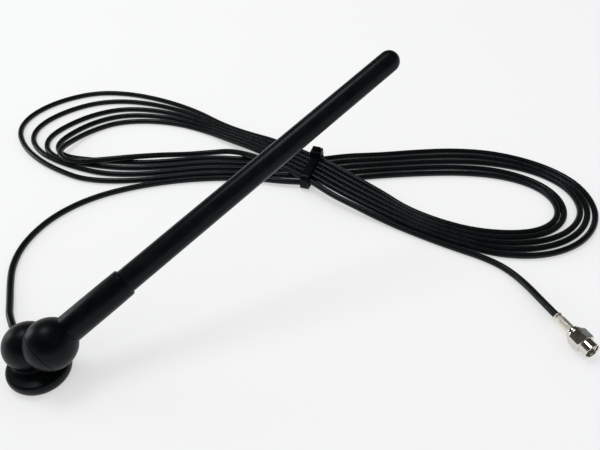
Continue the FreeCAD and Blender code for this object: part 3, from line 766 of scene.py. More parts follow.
@dataclass
class Foot:
    """Round foot with the fixed ball moulded on it, and the boss for the lead.

    Attributes:
        radius: Greatest radius of the foot, at its belly.
        base_radius: Radius of its underside.
        underside: Height of the underside's rim.
        pad_radius: Radius of the recess for the rubber skin.
        pad_height: Height of that recess.
        belly: Height of the belly.
        shoulder: Height of the shoulder before it is rounded.
        shoulder_round: Radius of the rounded shoulder.
        top: Height of the dome.
        ball_radius: Radius of the fixed ball.
        blend: Radius of the blend between dome and ball.
        ring_share: Inner radius of the blend's ring, as a share of the ball's radius.
        ring_lean: How much farther in the ring's lower edge is.
        ring_sink: How far the ring reaches down into the foot.
        ring_rise: How far it reaches up into the ball.
        face: Distance of the ball's flat face from its centre, along the swivel axis.
        cap_face: Distance of the cap's flat face from it, the other way.
        boss_radius: Radius of the boss.
        boss_round: Radius of the boss's rounded rim.
    """

    radius: float = 12.5
    base_radius: float = 11.4
    underside: float = 0.3
    pad_radius: float = 10.75
    pad_height: float = 0.6
    belly: float = 3.4
    shoulder: float = 5.4
    shoulder_round: float = 1.2
    top: float = 6.9
    ball_radius: float = LOWER_BALL_RADIUS
    blend: float = 1.2
    ring_share: float = 0.65
    ring_lean: float = 0.8
    ring_sink: float = 1.1
    ring_rise: float = 0.3
    face: float = 5.11
    cap_face: float = CAP_FACE
    boss_radius: float = 2.9
    boss_round: float = 0.45

    def dome_radius(self) -> float:
        """Radius of the dome's sphere."""
        belly_radius = self.belly_radius()
        reach = self.radius - belly_radius + math.sqrt(
            belly_radius ** 2 - (self.shoulder - self.belly) ** 2)
        sagitta = self.top - self.shoulder
        return (reach ** 2 + sagitta ** 2) / (2 * sagitta)

    def belly_radius(self) -> float:
        """Radius of the arc up the foot's side."""
        lean = self.radius - self.base_radius
        drop = self.belly - self.underside
        return (lean ** 2 + drop ** 2) / (2 * lean)

    def make(self, finishes: Finishes) -> bpy.types.Object:
        """Builds the foot, the ball and the boss as one moulding.

        Args:
            finishes: The antenna's finishes.

        Returns:
            The moulding.
        """
        shell = self._puck()
        for part in (self._ball(), self._boss()):
            Bench.carve(shell, part, "UNION")
        Bench.close(shell)
        Bench.smooth(shell, 35.0)
        Bench.even_out(shell)
        return dress(shell, finishes.body, Body.BASE, Slot.BODY, "foot_housing")

    def _puck(self) -> bpy.types.Object:
        """The round foot alone, with the recess for its rubber skin."""
        belly_radius = self.belly_radius()
        dome_radius = self.dome_radius()
        belly_centre = Vector((self.radius - belly_radius, self.belly))
        dome_centre = Vector((0.0, self.top - dome_radius))
        shoulder = meeting(belly_centre, belly_radius - self.shoulder_round,
                           dome_centre, dome_radius - self.shoulder_round)
        low = slope(Vector((self.base_radius, self.underside)) - belly_centre)
        from_belly = slope(shoulder - belly_centre)
        from_dome = slope(shoulder - dome_centre)
        corners = [Corner(0, self.pad_height), Corner(self.pad_radius, self.pad_height),
                   Corner(self.pad_radius, self.underside, 0.12, 2)]
        corners += arc(belly_centre, belly_radius, low, from_belly, 16)
        corners += arc(shoulder, self.shoulder_round, from_belly, from_dome, 8)[1:]
        corners += arc(dome_centre, dome_radius, from_dome, 90, 12)[1:]
        return Turning("foot_shell", corners, steps=144).make()

    def _ball(self) -> bpy.types.Object:
        """The fixed ball with the blend round its foot, cut off square at both ends."""
        dome_radius = self.dome_radius()
        dome_centre = mm(0, 0, self.top - dome_radius)
        ball_centre = mm(*LOWER_BALL_CENTRE)
        upward = (ball_centre - dome_centre).normalized()
        dome_low = Vector((0.0, -(ball_centre - dome_centre).length / MM))
        middle = Vector((0.0, 0.0))
        roller = meeting(middle, self.ball_radius + self.blend, dome_low, dome_radius + self.blend)
        to_ball = slope(middle - roller)
        to_dome = slope(dome_low - roller) % 360
        inner = self.ball_radius * self.ring_share
        ring = arc(roller, self.blend, to_ball, to_dome, 10)
        ring += [Corner(inner - self.ring_lean, ring[-1].height - self.ring_sink),
                 Corner(inner, ring[0].height + self.ring_rise)]
        blend = Turning("blend", ring, True, 128).make()
        ball = Turning("ball", arc((0, 0), self.ball_radius, -90, 90, 56), steps=128).make()
        Bench.carve(ball, blend, "UNION")
        Bench.set_down(ball, standing(ball_centre, upward))
        axis = swivel_axis()
        Bench.cut_off(ball, ball_centre + axis * self.face * MM, axis)
        Bench.cut_off(ball, ball_centre - axis * self.cap_face * MM, -axis)
        return ball

    def _boss(self) -> bpy.types.Object:
        """Short boss that the lead's strain relief sits in."""
        boss = Turning("boss", [Corner(0, 0), Corner(self.boss_radius, 0),
                                Corner(self.boss_radius, BOSS_LENGTH, self.boss_round, 5),
                                Corner(0, BOSS_LENGTH)], steps=72).make()
        Bench.set_down(boss, standing(mm(*BOSS_START), Vector(EXIT_DIRECTION)))
        return boss


@dataclass
class BallCap:
    """Domed cap on the fixed ball's outer end, with a fine step round it.

    Attributes:
        ball_radius: Radius of the fixed ball, which the dome continues.
        chord: Distance of the cap's flat face from the ball's centre.
        step: Width of the step round the cap.
        edge_round: Radius of its rounded edge.
    """

    ball_radius: float = LOWER_BALL_RADIUS
    chord: float = CAP_FACE
    step: float = 0.25
    edge_round: float = 0.06

    def make(self, finishes: Finishes) -> bpy.types.Object:
        """Builds the cap.

        Args:
            finishes: The antenna's finishes.

        Returns:
            The cap.
        """
        reach = math.sqrt(self.ball_radius ** 2 - self.chord ** 2) - self.step
        edge = -math.degrees(math.acos(reach / self.ball_radius))
        dome = arc((0, 0), self.ball_radius, -90, edge, 20)
        dome[-1] = Corner(dome[-1].radius, dome[-1].height, self.edge_round, 3)
        cap = Turning("ball_cap", dome + [Corner(reach, -self.chord), Corner(0, -self.chord)],
                      steps=96).make()
        Bench.set_down(cap, standing(mm(*LOWER_BALL_CENTRE), swivel_axis()))
        Bench.smooth(cap)
        return dress(cap, finishes.body, Body.BASE, Slot.BODY, "lobe_cap")


@dataclass
class TurningBall:
    """The turning ball in two mouldings, parted square to the whip.

    Attributes:
        radius: Radius of the ball.
        face: Distance of its flat face from its centre.
        seam: Height of the seam along the whip.
        seat_radius: Radius of the seat for the whip's sleeve.
        seat: Height of that seat.
        groove: Width and depth of the groove along the seam.
        groove_floor: Width of the groove's straight floor.
        edge_round: Radius of the rounded edges at the seam.
        seat_round: Radius of the rounded edge of the seat.
    """

    radius: float = 10.3
    face: float = 6.16
    seam: float = -3.85
    seat_radius: float = 6.0
    seat: float = SLEEVE_SEAT
    groove: float = 0.3
    groove_floor: float = 0.08
    edge_round: float = 0.1
    seat_round: float = 0.12

    def make(self, finishes: Finishes) -> list[bpy.types.Object]:
        """Builds both halves.

        Args:
            finishes: The antenna's finishes.

        Returns:
            The half that holds the whip and the half behind it.
        """
        return [dress(self._finish(self._front()), finishes.body, Body.WHIP, Slot.BODY, "head_front"),
                dress(self._finish(self._rear()), finishes.body, Body.WHIP, Slot.BODY, "head_rear")]

    def _front(self) -> bpy.types.Object:
        """The half that holds the whip."""
        low = math.degrees(math.asin(self.seam / self.radius))
        high = math.degrees(math.acos(self.seat_radius / self.radius))
        side = arc((0, 0), self.radius, low, high, 48)
        side[0] = Corner(side[0].radius, side[0].height, self.edge_round, 3)
        side[-1] = Corner(side[-1].radius, side[-1].height, self.seat_round, 3)
        corners = [Corner(0, self.seam)] + side
        corners += [Corner(self.seat_radius, self.seat), Corner(0, self.seat)]
        return Turning("ball_front", corners, steps=144).make()

    def _rear(self) -> bpy.types.Object:
        """The half behind it, with a fine groove along the seam."""
        seam_radius = math.sqrt(self.radius ** 2 - self.seam ** 2)
        high = math.degrees(math.asin((self.seam - self.groove) / self.radius))
        side = arc((0, 0), self.radius, -90, high, 40)
        side[-1] = Corner(side[-1].radius, side[-1].height, self.edge_round, 3)
        corners = side + [Corner(seam_radius - self.groove, self.seam - self.groove_floor),
                          Corner(seam_radius - self.groove, self.seam), Corner(0, self.seam)]
        return Turning("ball_rear", corners, steps=144).make()

    def _finish(self, half: bpy.types.Object) -> bpy.types.Object:
        """Puts a half in its place, cuts the ball's flat face and shades it, with the flat face kept flat.
        """
        Bench.set_down(half, standing(mm(*BALL_CENTRE), Vector(WHIP_DIRECTION)))
        axis = swivel_axis()
        Bench.cut_off(half, mm(*BALL_CENTRE) - axis * self.face * MM, -axis)
        Bench.close(half)
        Bench.smooth(half, 35.0)
        Bench.even_out(half)
        return half


# The whip


@dataclass
class Sleeve:
    """Lower sleeve of the whip: slight taper, rounded upper rim, bore for the long tube.

    Attributes:
        radius: Radius up to where the taper starts.
        top_radius: Radius at the upper rim.
        seat: Height where the sleeve stands in the turning ball.
        top: Height of the upper rim.
        taper: Length of the tapered part.
        taper_round: Radius of the soft bend where the taper starts.
        foot_round: Radius of the rounded lower edge.
        rim_round: Radius of the rounded upper rim.
        mouth_round: Radius of the rounded edge of the bore.
        bore: Radius of the bore for the tube.
        bore_floor: Height of that bore's floor.
        insert_radius: Radius of the narrow bore for the insert.
        spigot_radius: Radius of the spigot below the seat.
        spigot: Length of the spigot.
    """

    radius: float = 5.95
    top_radius: float = 5.8
    seat: float = SLEEVE_SEAT
    top: float = 36.0
    taper: float = 7.0
    taper_round: float = 1.5
    foot_round: float = 0.1
    rim_round: float = 0.7
    mouth_round: float = 0.12
    bore: float = 5.03
    bore_floor: float = TUBE_FLOOR
    insert_radius: float = 2.02
    spigot_radius: float = 4.5
    spigot: float = 2.4

    def make(self, finishes: Finishes) -> bpy.types.Object:
        """Builds the sleeve.

        Args:
            finishes: The antenna's finishes.

        Returns:
            The sleeve.
        """
        low = self.seat - self.spigot
        corners = [Corner(self.insert_radius, low), Corner(self.spigot_radius, low),
                   Corner(self.spigot_radius, self.seat),
                   Corner(self.radius, self.seat, self.foot_round, 2),
                   Corner(self.radius, self.top - self.taper, self.taper_round, 6),
                   Corner(self.top_radius, self.top, self.rim_round, 8),
                   Corner(self.bore, self.top, self.mouth_round, 3),
                   Corner(self.bore, self.bore_floor), Corner(self.insert_radius, self.bore_floor)]
        sleeve = Turning("lower_sleeve", corners, True, 128).make()
        Bench.set_down(sleeve, standing(mm(*BALL_CENTRE), Vector(WHIP_DIRECTION)))
        Bench.smooth(sleeve, 30.0)
        return dress(sleeve, finishes.body, Body.WHIP, Slot.BODY, "whip_sleeve")


@dataclass
class WhipTube:
    """Long closed tube of the whip, slightly tapered, with a round tip.

    Attributes:
        root_radius: Radius at its lower end.
        tip_radius: Radius at its tip, which is a half ball.
        floor: Height of its lower end.
        tip: Height of its tip.
        stations: How many stretches the straight side is divided into, for even faces.
    """

    root_radius: float = 5.0
    tip_radius: float = 4.72
    floor: float = TUBE_FLOOR
    tip: float = 181.0
    stations: int = 12

    def make(self, finishes: Finishes) -> bpy.types.Object:
        """Builds the tube.

        Args:
            finishes: The antenna's finishes.

        Returns:
            The tube.
        """
        tip_centre = self.tip - self.tip_radius
        side = [Corner(self.root_radius + (self.tip_radius - self.root_radius) * step / self.stations,
                       self.floor + (tip_centre - self.floor) * step / self.stations)
                for step in range(self.stations)]
        corners = [Corner(0, self.floor)] + side + arc((0, tip_centre), self.tip_radius, 0, 90, 20)
        tube = Turning("whip_tube", corners, steps=96).make()
        Bench.set_down(tube, standing(mm(*BALL_CENTRE), Vector(WHIP_DIRECTION)))
        Bench.smooth(tube, 30.0)
        return dress(tube, finishes.whip, Body.WHIP, Slot.WHIP, "whip_cover")


@dataclass
class StrainRelief:
    """Tapered rubber strain relief at the back of the foot, with ring grooves.

    Attributes:
        root: Height of the boss's mouth, where the strain relief comes out.
        socket: How deep it sits in the boss.
        length: How far it stands out of the boss.
        collar: Length of the plain collar.
        root_radius: Radius of the collar.
        tip_radius: Radius of its tip.
        bore: Radius of the bore.
        grooves: Number of grooves.
        margin: Plain length before the first groove and after the last.
        groove_depth: Depth of a groove.
        groove_share: Width of a groove, as a share of the distance between two.
        flank: Width of a groove's sloped sides.
        collar_round: Radius of the collar's rounded edge.
        crest_round: Radius of the grooves' outer edges.
        floor_round: Radius of the grooves' inner edges.
        tip_round: Radius of the rounded tip.
    """

    root: float = BOSS_LENGTH
    socket: float = 0.5
    length: float = 9.0
    collar: float = 1.2
    root_radius: float = 2.7
    tip_radius: float = 1.95
    bore: float = 0.95
    grooves: int = 5
    margin: float = 0.45
    groove_depth: float = 0.32
    groove_share: float = 0.5
    flank: float = 0.1
    collar_round: float = 0.25
    crest_round: float = 0.1
    floor_round: float = 0.08
    tip_round: float = 0.2

    def make(self, finishes: Finishes) -> bpy.types.Object:
        """Builds the strain relief.

        Args:
            finishes: The antenna's finishes.

        Returns:
            The strain relief.
        """
        low = self.root + self.collar
        tip = self.root + self.length
        pitch = (self.length - self.collar - 2 * self.margin) / self.grooves
        corners = [Corner(self.bore, self.root - self.socket),
                   Corner(self.root_radius, self.root - self.socket),
                   Corner(self.root_radius, low, self.collar_round, 4)]
        for groove in range(self.grooves):
            start = low + self.margin + pitch * groove
            end = start + pitch * self.groove_share
            outer = self._radius(start)
            corners += [Corner(outer, start, self.crest_round, 2),
                        Corner(outer - self.groove_depth, start + self.flank, self.floor_round, 2),
                        Corner(outer - self.groove_depth, end, self.floor_round, 2),
                        Corner(self._radius(end), end + self.flank, self.crest_round, 2)]
        corners += [Corner(self.tip_radius, tip, self.tip_round, 3), Corner(self.bore, tip)]
        relief = Turning("strain_relief", corners, True, 64).make()
        Bench.set_down(relief, standing(mm(*BOSS_START), Vector(EXIT_DIRECTION)))
        Bench.smooth(relief, 40.0)
        return dress(relief, finishes.jacket, Body.BASE, Slot.RUBBER, "cable_grommet")

    def _radius(self, height: float) -> float:
        """Outer radius of the tapered part at a height."""
        low = self.root + self.collar
        share = (height - low) / (self.length - self.collar)
        return self.root_radius + (self.tip_radius - self.root_radius) * share


# The plug


@dataclass
class Ferrule:
    """Crimped sleeve of the plug: flared mouth, neck, and a hexagonal crimp.

    Attributes:
        bore: Radius of the bore.
        mouth_radius: Radius of the flared mouth.
        neck_radius: Radius of the neck behind it.
        radius: Radius of the straight part.
        mouth: Length of the mouth's straight rim.
        flare: Height where the flare has narrowed to the neck.
        neck: Height where the neck ends.
        step: Height where the straight part starts.
        length: Length of the ferrule.
        crimp_flats: Width across the flats of the crimp.
        crimp: Heights of the crimp's two ends.
        crimp_turn: Angle of one corner of the crimp, in degrees.
        die_radius: Radius of the shape that presses the crimp.
    """

    bore: float = 1.62
    mouth_radius: float = 2.15
    neck_radius: float = 1.78
    radius: float = 1.95
    mouth: float = 0.5
    flare: float = 1.24
    neck: float = 2.0
    step: float = 2.4
    length: float = 9.0
    crimp_flats: float = 3.66
    crimp: tuple[float, float] = (3.1, 8.3)
    crimp_turn: float = 12.0
    die_radius: float = 3.0

    def make(self, finishes: Finishes) -> bpy.types.Object:
        """Builds the ferrule and presses the crimp into it.

        Args:
            finishes: The antenna's finishes.

        Returns:
            The ferrule.
        """
        corners = [Corner(self.bore, 0, 0.08, 2), Corner(self.mouth_radius, 0, 0.12, 3),
                   Corner(self.mouth_radius, self.mouth, 0.15, 3),
                   Corner(self.neck_radius, self.flare, 0.2, 4),
                   Corner(self.neck_radius, self.neck, 0.1, 2), Corner(self.radius, self.step, 0.1, 2),
                   Corner(self.radius, self.length, 0.15, 3), Corner(self.bore, self.length)]
        ferrule = Turning("ferrule", corners, True, 96).make()
        low, high = self.crimp
        die = Turning("die", [Corner(0, low), Corner(self.die_radius, low),
                              Corner(self.die_radius, high), Corner(0, high)]).make()
        Bench.carve(die, hexagon("hole", self.crimp_flats, low - PAST_THE_PIECE,
                                 high + PAST_THE_PIECE, self.crimp_turn))
        Bench.carve(ferrule, die)
        Bench.close(ferrule)
        Bench.set_down(ferrule, plug_place())
        Bench.smooth(ferrule, 20.0)
        Bench.even_out(ferrule)
        return dress(ferrule, finishes.crimp, Body.BASE, Slot.NICKEL, "crimp_ferrule")


@dataclass
class PlugBody:
    """Fixed inner body of the plug, its insulator and its centre pin.

    Attributes:
        flange_radius: Radius of the flange behind the nut.
        radius: Radius of the tube in the nut.
        flange_low: Height of the flange's back.
        flange_high: Height of its front.
        front: Height of the tube's front end.
        stem_radius: Radius of the stem in the ferrule.
        stem_low: Height of the stem's back.
        clip: Heights of the groove for the nut's clip.
        clip_depth: Depth of that groove.
        insulator_radius: Radius of the insulator.
        insulator_seat: How far the insulator reaches into the flange.
        dimple_radius: Radius of the dimple round the pin.
        dimple: Depth of the dimple.
        pin_bore: Radius of the bore for the pin.
        pin_radius: Radius of the pin.
        pin_low: Height of the pin's back.
        pin_tip: Height of its tip.
        pin_taper: Length of its tapered tip.
        pin_point: Radius of the tip, as a share of the pin's.
    """

    flange_radius: float = 3.0
    radius: float = 2.6
    flange_low: float = 9.0
    flange_high: float = 10.2
    front: float = 17.4
    stem_radius: float = 1.5
    stem_low: float = 3.82
    clip: tuple[float, float] = (11.9, 12.5)
    clip_depth: float = 0.4
    insulator_radius: float = 2.05
    insulator_seat: float = 0.4
    dimple_radius: float = 0.62
    dimple: float = 0.25
    pin_bore: float = 0.48
    pin_radius: float = 0.46
    pin_low: float = 4.8
    pin_tip: float = 19.9
    pin_taper: float = 0.5
    pin_point: float = 0.45

    def make(self, finishes: Finishes) -> list[bpy.types.Object]:
        """Builds the body, the insulator and the pin.

        Args:
            finishes: The antenna's finishes.

        Returns:
            The three pieces.
        """
        low, high = self.clip
        waist = self.radius - self.clip_depth
        base = self.flange_high - self.insulator_seat
        corners = [Corner(self.insulator_radius, base), Corner(self.insulator_radius, self.front, 0.08, 2),
                   Corner(self.radius, self.front, 0.12, 3), Corner(self.radius, high),
                   Corner(waist, high), Corner(waist, low), Corner(self.radius, low),
                   Corner(self.radius, self.flange_high),
                   Corner(self.flange_radius, self.flange_high, 0.2, 3),
                   Corner(self.flange_radius, self.flange_low, 0.2, 3),
                   Corner(self.stem_radius, self.flange_low), Corner(self.stem_radius, self.stem_low),
                   Corner(self.pin_bore, self.stem_low), Corner(self.pin_bore, base)]
        body = Turning("plug_body", corners, True, 96).make()
        filling = Turning("plug_insulator", [
            Corner(self.pin_bore, base), Corner(self.insulator_radius, base),
            Corner(self.insulator_radius, self.front, 0.1, 3),
            Corner(self.dimple_radius, self.front, 0.08, 3),
            Corner(self.pin_bore, self.front - self.dimple)], True, 72).make()
        pin = Turning("plug_pin", [
            Corner(0, self.pin_low), Corner(self.pin_radius, self.pin_low),
            Corner(self.pin_radius, self.pin_tip - self.pin_taper, 0.15, 4),
            Corner(self.pin_radius * self.pin_point, self.pin_tip, 0.1, 3),
            Corner(0, self.pin_tip)], steps=48).make()
        for piece in (body, filling, pin):
            Bench.set_down(piece, plug_place())
            Bench.smooth(piece, 35.0)
        return [dress(body, finishes.nickel, Body.BASE, Slot.NICKEL, "connector_body"),
                dress(filling, finishes.white, Body.BASE, Slot.WHITE, "connector_insulator"),
                dress(pin, finishes.gold, Body.BASE, Slot.GOLD, "centre_pin")]


@dataclass
class CouplingNut:
    """Turning nut of the plug: ring, chamfered hexagon, round collar and threaded mouth.

    Attributes:
        flats: Width across the flats of the hexagon.
        turn: Angle of one corner of the hexagon, in degrees.
        low: Height of the nut's back.
        ring: Length of the ring at its back.
        hexagon: Length of the hexagon.
        length: Length of the whole nut.
        ring_radius: Radius of the ring.
        collar_radius: Radius of the collar.
        back_chamfer: Length of the chamfer on the hexagon's back corners.
        front_chamfer: Length of the chamfer on its front corners.
        edge_round: Width of the rounding on its sharp edges.
        body_room: Radius of the hole at the back, for the plug's body.
        clip_room: Heights of the room for the clip.
        bore: Radius of the bore.
        undercut: How much wider the room for the clip and the mouth are than the bore.
        thread_start: Height of the first thread over the room for the clip.
        thread_end: Plain length left in front of the last thread.
        thread_depth: Depth of the thread.
        pitch: Pitch of the thread.
        mouth: Length of the chamfer in the mouth.
    """

    flats: float = 8.0
    turn: float = 4.0
    low: float = 10.35
    ring: float = 0.9
    hexagon: float = 5.6
    length: float = 10.4
    ring_radius: float = 3.75
    collar_radius: float = 3.55
    back_chamfer: float = 0.44
    front_chamfer: float = 0.56
    edge_round: float = 0.07
    body_room: float = 2.65
    clip_room: tuple[float, float] = (11.85, 12.55)
    bore: float = 2.95
    undercut: float = 0.25
    thread_start: float = 2.6
    thread_end: float = 0.9
    thread_depth: float = 0.22
    pitch: float = 0.7
    mouth: float = 0.3

    def make(self, finishes: Finishes) -> bpy.types.Object:
        """Builds the nut.

        Args:
            finishes: The antenna's finishes.

        Returns:
            The nut.
        """
        hex_low = self.low + self.ring
        hex_high = hex_low + self.hexagon
        high = self.low + self.length
        corner = self.flats / math.sqrt(3)
        flat = self.flats / 2
        nut = hexagon("plug_nut", self.flats, hex_low, hex_high, self.turn)
        crown = Turning("crown", [
            Corner(0, hex_low - PAST_THE_PIECE), Corner(flat + 0.02, hex_low - 0.01),
            Corner(corner + 0.1, hex_low + self.back_chamfer),
            Corner(corner + 0.1, hex_high - self.front_chamfer), Corner(flat - 0.1, hex_high + 0.01),
            Corner(0, hex_high + PAST_THE_PIECE)]).make()
        Bench.carve(nut, crown, "INTERSECT")
        ends = Turning("ends", [
            Corner(0, self.low), Corner(self.ring_radius, self.low, 0.15, 3),
            Corner(self.ring_radius, hex_low + 0.1), Corner(self.collar_radius, hex_low + 0.1),
            Corner(self.collar_radius, high, 0.2, 6), Corner(0, high)], steps=96).make()
        Bench.carve(nut, ends, "UNION")
        Bench.carve(nut, self._bore(high))
        edge = nut.modifiers.new("edge", "BEVEL")
        edge.width = self.edge_round * MM
        edge.segments = 3
        edge.limit_method = "ANGLE"
        edge.angle_limit = math.radians(55)
        Bench.apply(nut)
        Bench.close(nut)
        Bench.set_down(nut, plug_place())
        Bench.smooth(nut, 24.0)
        Bench.even_out(nut)
        return dress(nut, finishes.nickel, Body.COUPLING, Slot.NICKEL, "coupling_nut")

    def _bore(self, high: float) -> bpy.types.Object:
        """Shape of the bore: room for the body and its clip, then the thread, then the mouth.

        Args:
            high: Height of the nut's mouth.

        Returns:
            The shape that the bore is cut with.
        """
        clip_low, clip_high = self.clip_room
        room = self.bore + self.undercut
        back = self.low - PAST_THE_PIECE
        front = high + PAST_THE_PIECE
        corners = [Corner(0, back), Corner(self.body_room, back), Corner(self.body_room, clip_low),
                   Corner(room, clip_low), Corner(room, clip_high), Corner(self.bore, clip_high)]
        ridge = clip_high + self.thread_start
        while ridge < high - self.thread_end:
            corners += [Corner(self.bore, ridge),
                        Corner(self.bore + self.thread_depth, ridge + self.pitch / 2)]
            ridge += self.pitch
        corners += [Corner(self.bore, ridge), Corner(self.bore, high - self.mouth), Corner(room, high),
                    Corner(room, front), Corner(0, front)]
        return Turning("bore", corners, steps=96).make()


# The lead


@dataclass
class CoaxialLead:
    """The coaxial lead: out of the foot, five turns of a figure of eight, and out to the plug.

    Attributes:
        radius: Radius of the jacket, in millimetres.
        turns: Number of turns of the figure of eight.
        lying: Height of the centreline where the lead lies on the floor.
        lead: Points from the grommet to the first turn.
        tail: Points from the last turn to the plug.
        right_loop: Stations of the right loop, as x, y of the first turn and of the last turn.
        left_loop: Stations of the left loop, in the same form.
        right_heights: Heights of the first stations of the right loop, where it goes under.
        left_heights: Heights of the first stations of the left loop, where it goes over.
        right_end_heights: Heights of its last stations, where it comes up to the crossing.
        right_shares: Places of the turns between the first and the last, on the right loop.
        right_looseness: How far each station is from an even spread, on the right loop.
        left_shares: The same shares on the left loop.
        left_looseness: The same distances from an even spread on the left loop.
        left_shifts: Where a turn is set aside or laid over others: turn, station and shift.
    """

    radius: float = 1.6
    turns: int = 5
    lying: float = 1.65
    lead: Sequence[Place] = (
        (-14.81, 16.07, 3.9), (-21.01, 24.92, 3.9),
        (-25.0, 35.6, 2.3), (-29.2, 46.8, 1.65), (-32.8, 59.0, 1.65), (-33.4, 72.0, 1.65),
        (-30.8, 84.0, 1.65), (-25.4, 96.0, 1.65), (-16.4, 107.0, 1.65), (-5.2, 115.5, 1.65),
        (7.8, 121.8, 1.65), (21.8, 126.4, 1.65), (37.8, 130.0, 1.65), (57.8, 131.9, 1.65),
    )
    tail: Sequence[Place] = (
        (62.0, 155.5, 4.4), (72.4, 150.3, 5.6), (84.2, 142.6, 6.3), (97.5, 132.8, 6.3),
        (110.0, 122.0, 5.8), (120.0, 111.3, 5.2), (131.0, 103.3, 4.3), (142.4, 95.4, 2.8),
        (154.1, 87.8, 1.8), (167.1, 79.4, 1.65), (180.1, 71.6, 1.65), (191.2, 65.6, 1.65),
        (199.7, 58.5, 1.65), (205.7, 48.2, 2.1),
        (209.46, 32.86, 4.65), (214.09, 22.0, 4.65),
    )
    right_loop: Sequence[tuple[float, float, float, float]] = (
        (77.8, 131, 77.8, 150), (94.5, 126.5, 94.8, 149.8), (112, 125.8, 112.8, 148.2),
        (130.8, 130.8, 130.8, 154), (147.8, 134, 149.8, 155.5), (171.8, 136.3, 173.8, 158.8),
        (195.8, 137, 195.8, 160.3), (216.8, 133.7, 218.8, 157.3), (232.8, 124.8, 242.1, 145.5),
        (239.8, 112, 257.4, 127.2), (238.3, 98.5, 259.8, 105), (229.8, 88.5, 252.6, 87),
        (216.8, 83.7, 238.6, 73.5), (199.8, 84, 219.8, 66.4), (184.8, 88, 199.2, 67.5),
        (169.8, 96, 182.0, 75.0), (157.6, 105.3, 166.0, 84.0), (148, 115, 147.5, 96.3),
    )
    left_loop: Sequence[tuple[float, float, float, float]] = (
        (133.8, 126.3, 123.3, 115), (119.2, 139.8, 108.8, 128.6), (102.8, 153, 92.5, 142),
        (87, 165.8, 75.3, 157), (71.6, 177, 58.8, 171), (54.4, 190, 44.8, 182.4),
        (34.4, 208.5, 25.4, 192), (10.1, 223.5, 5, 195.8), (-15.5, 233.2, -13.7, 193.7),
        (-39.2, 234.2, -27, 184.2), (-60.3, 221.8, -35.2, 171), (-72.6, 203.5, -39.3, 159.6),
        (-74, 184, -35.4, 150.9), (-64, 164.8, -26.2, 147), (-50.2, 150, -12.2, 148.5),
        (-35, 139, 4.8, 150.2), (-17.2, 129.5, 21.8, 153.2), (9.8, 128.5, 35.8, 156),
        (47.8, 136, 51.8, 158.5),
    )
    right_heights: Sequence[float] = (2.0, 2.9, 2.9, 2.0)
    right_end_heights: Sequence[float] = (1.8, 3.2)
    left_heights: Sequence[float] = (5.3, 6.3, 6.3, 5.3, 3.0)
    right_shares: Sequence[float] = (0.0, 0.17, 0.65, 0.82, 1.0)
    right_looseness: Sequence[float] = (0, 0, 0, 0, 0, 0, 0, 0.15, 0.8, 1, 0.9, 0.4, 0.1, 0, 0, 0, 0, 0)
    left_shares: Sequence[float] = (0.0, 0.3, 0.62, 0.82, 1.0)
    left_looseness: Sequence[float] = (0, 0, 0, 0, 0, 0, 0, 0, 0.4, 0.9, 1, 1, 0.9, 0.5, 0.1, 0, 0, 0, 0)
    left_shifts: Sequence[tuple[int, int, Place]] = (
        (2, 13, (-0.5, -0.5, 0.0)), (2, 14, (-0.4, -0.8, 0.0)), (2, 15, (0.0, -0.5, 0.0)),
        (3, 11, (0.8, 0.6, 0.0)), (3, 12, (1.5, 1.4, 0.0)), (3, 13, (1.4, 1.9, 0.0)),
        (3, 14, (0.5, 1.6, 0.0)), (3, 15, (0.0, 0.7, 0.0)),
        (4, 10, (0.0, -1.2, 1.6)), (4, 11, (0.0, -3.4, 3.4)), (4, 12, (0.0, -3.7, 3.4)),
        (4, 13, (0.0, -3.7, 3.4)), (4, 14, (0.0, -3.4, 3.4)), (4, 15, (0.0, -2.0, 3.4)),
        (4, 16, (0.0, -0.4, 1.8)),
    )

    def route(self) -> list[Vector]:
        """Control points of the whole lead, from the grommet to the plug, in metres."""
        points = [mm(*place) for place in self.lead]
        for turn in range(self.turns):
            points += self._half(self.right_loop, self.right_shares, self.right_looseness, turn,
                                 self.right_heights, self.right_end_heights)
            left = self._half(self.left_loop, self.left_shares, self.left_looseness, turn,
                              self.left_heights, ())
            for shifted, station, shift in self.left_shifts:
                if shifted == turn:
                    left[station] += mm(*shift)
            points += left
        points += [mm(*place) for place in self.tail]
        return points

    def _half(self, stations: Sequence[tuple[float, float, float, float]], shares: Sequence[float],
              looseness: Sequence[float], turn: int, first: Sequence[float],
              last: Sequence[float]) -> list[Vector]:
        """Control points of one loop of one turn.

        Args:
            stations: The loop's stations.
            shares: Places of the turns where they lie loose.
            looseness: How far each station is from an even spread, from 0 to 1.
            turn: Number of the turn, from 0.
            first: Heights at the loop's first stations.
            last: Heights at its last stations.

        Returns:
            The points in metres.
        """
        points = []
        for index, (x0, y0, x1, y1) in enumerate(stations):
            even = turn / (self.turns - 1)
            share = even + (shares[turn] - even) * looseness[index]
            height = self.lying
            if index < len(first):
                height = first[index]
            elif len(stations) - index <= len(last):
                height = last[index - len(stations)]
            points.append(mm(x0 + (x1 - x0) * share, y0 + (y1 - y0) * share, height))
        return points

    def make(self, finishes: Finishes) -> bpy.types.Object:
        """Args:
            finishes: The antenna's finishes.

        Returns:
            The curve.
        """
        points = self.route()
        curve = bpy.data.curves.new("coaxial_lead", "CURVE")
        curve.dimensions = "3D"
        curve.resolution_u = 6
        curve.bevel_depth = 1.0
        curve.bevel_resolution = 4
        curve.use_fill_caps = True
        spline = curve.splines.new("NURBS")
        spline.points.add(len(points) - 1)
        for knot, point in zip(spline.points, points):
            knot.co = (*point, 1.0)
            knot.radius = self.radius * MM
        spline.order_u = 3
        spline.use_endpoint_u = True
        piece = bpy.data.objects.new("coaxial_lead", curve)
        bpy.context.scene.collection.objects.link(piece)
        curve.materials.append(finishes.jacket)
        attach(piece, Body.BASE.value)
        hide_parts("cable_lead", "cable_hank", "cable_tail")
        return piece

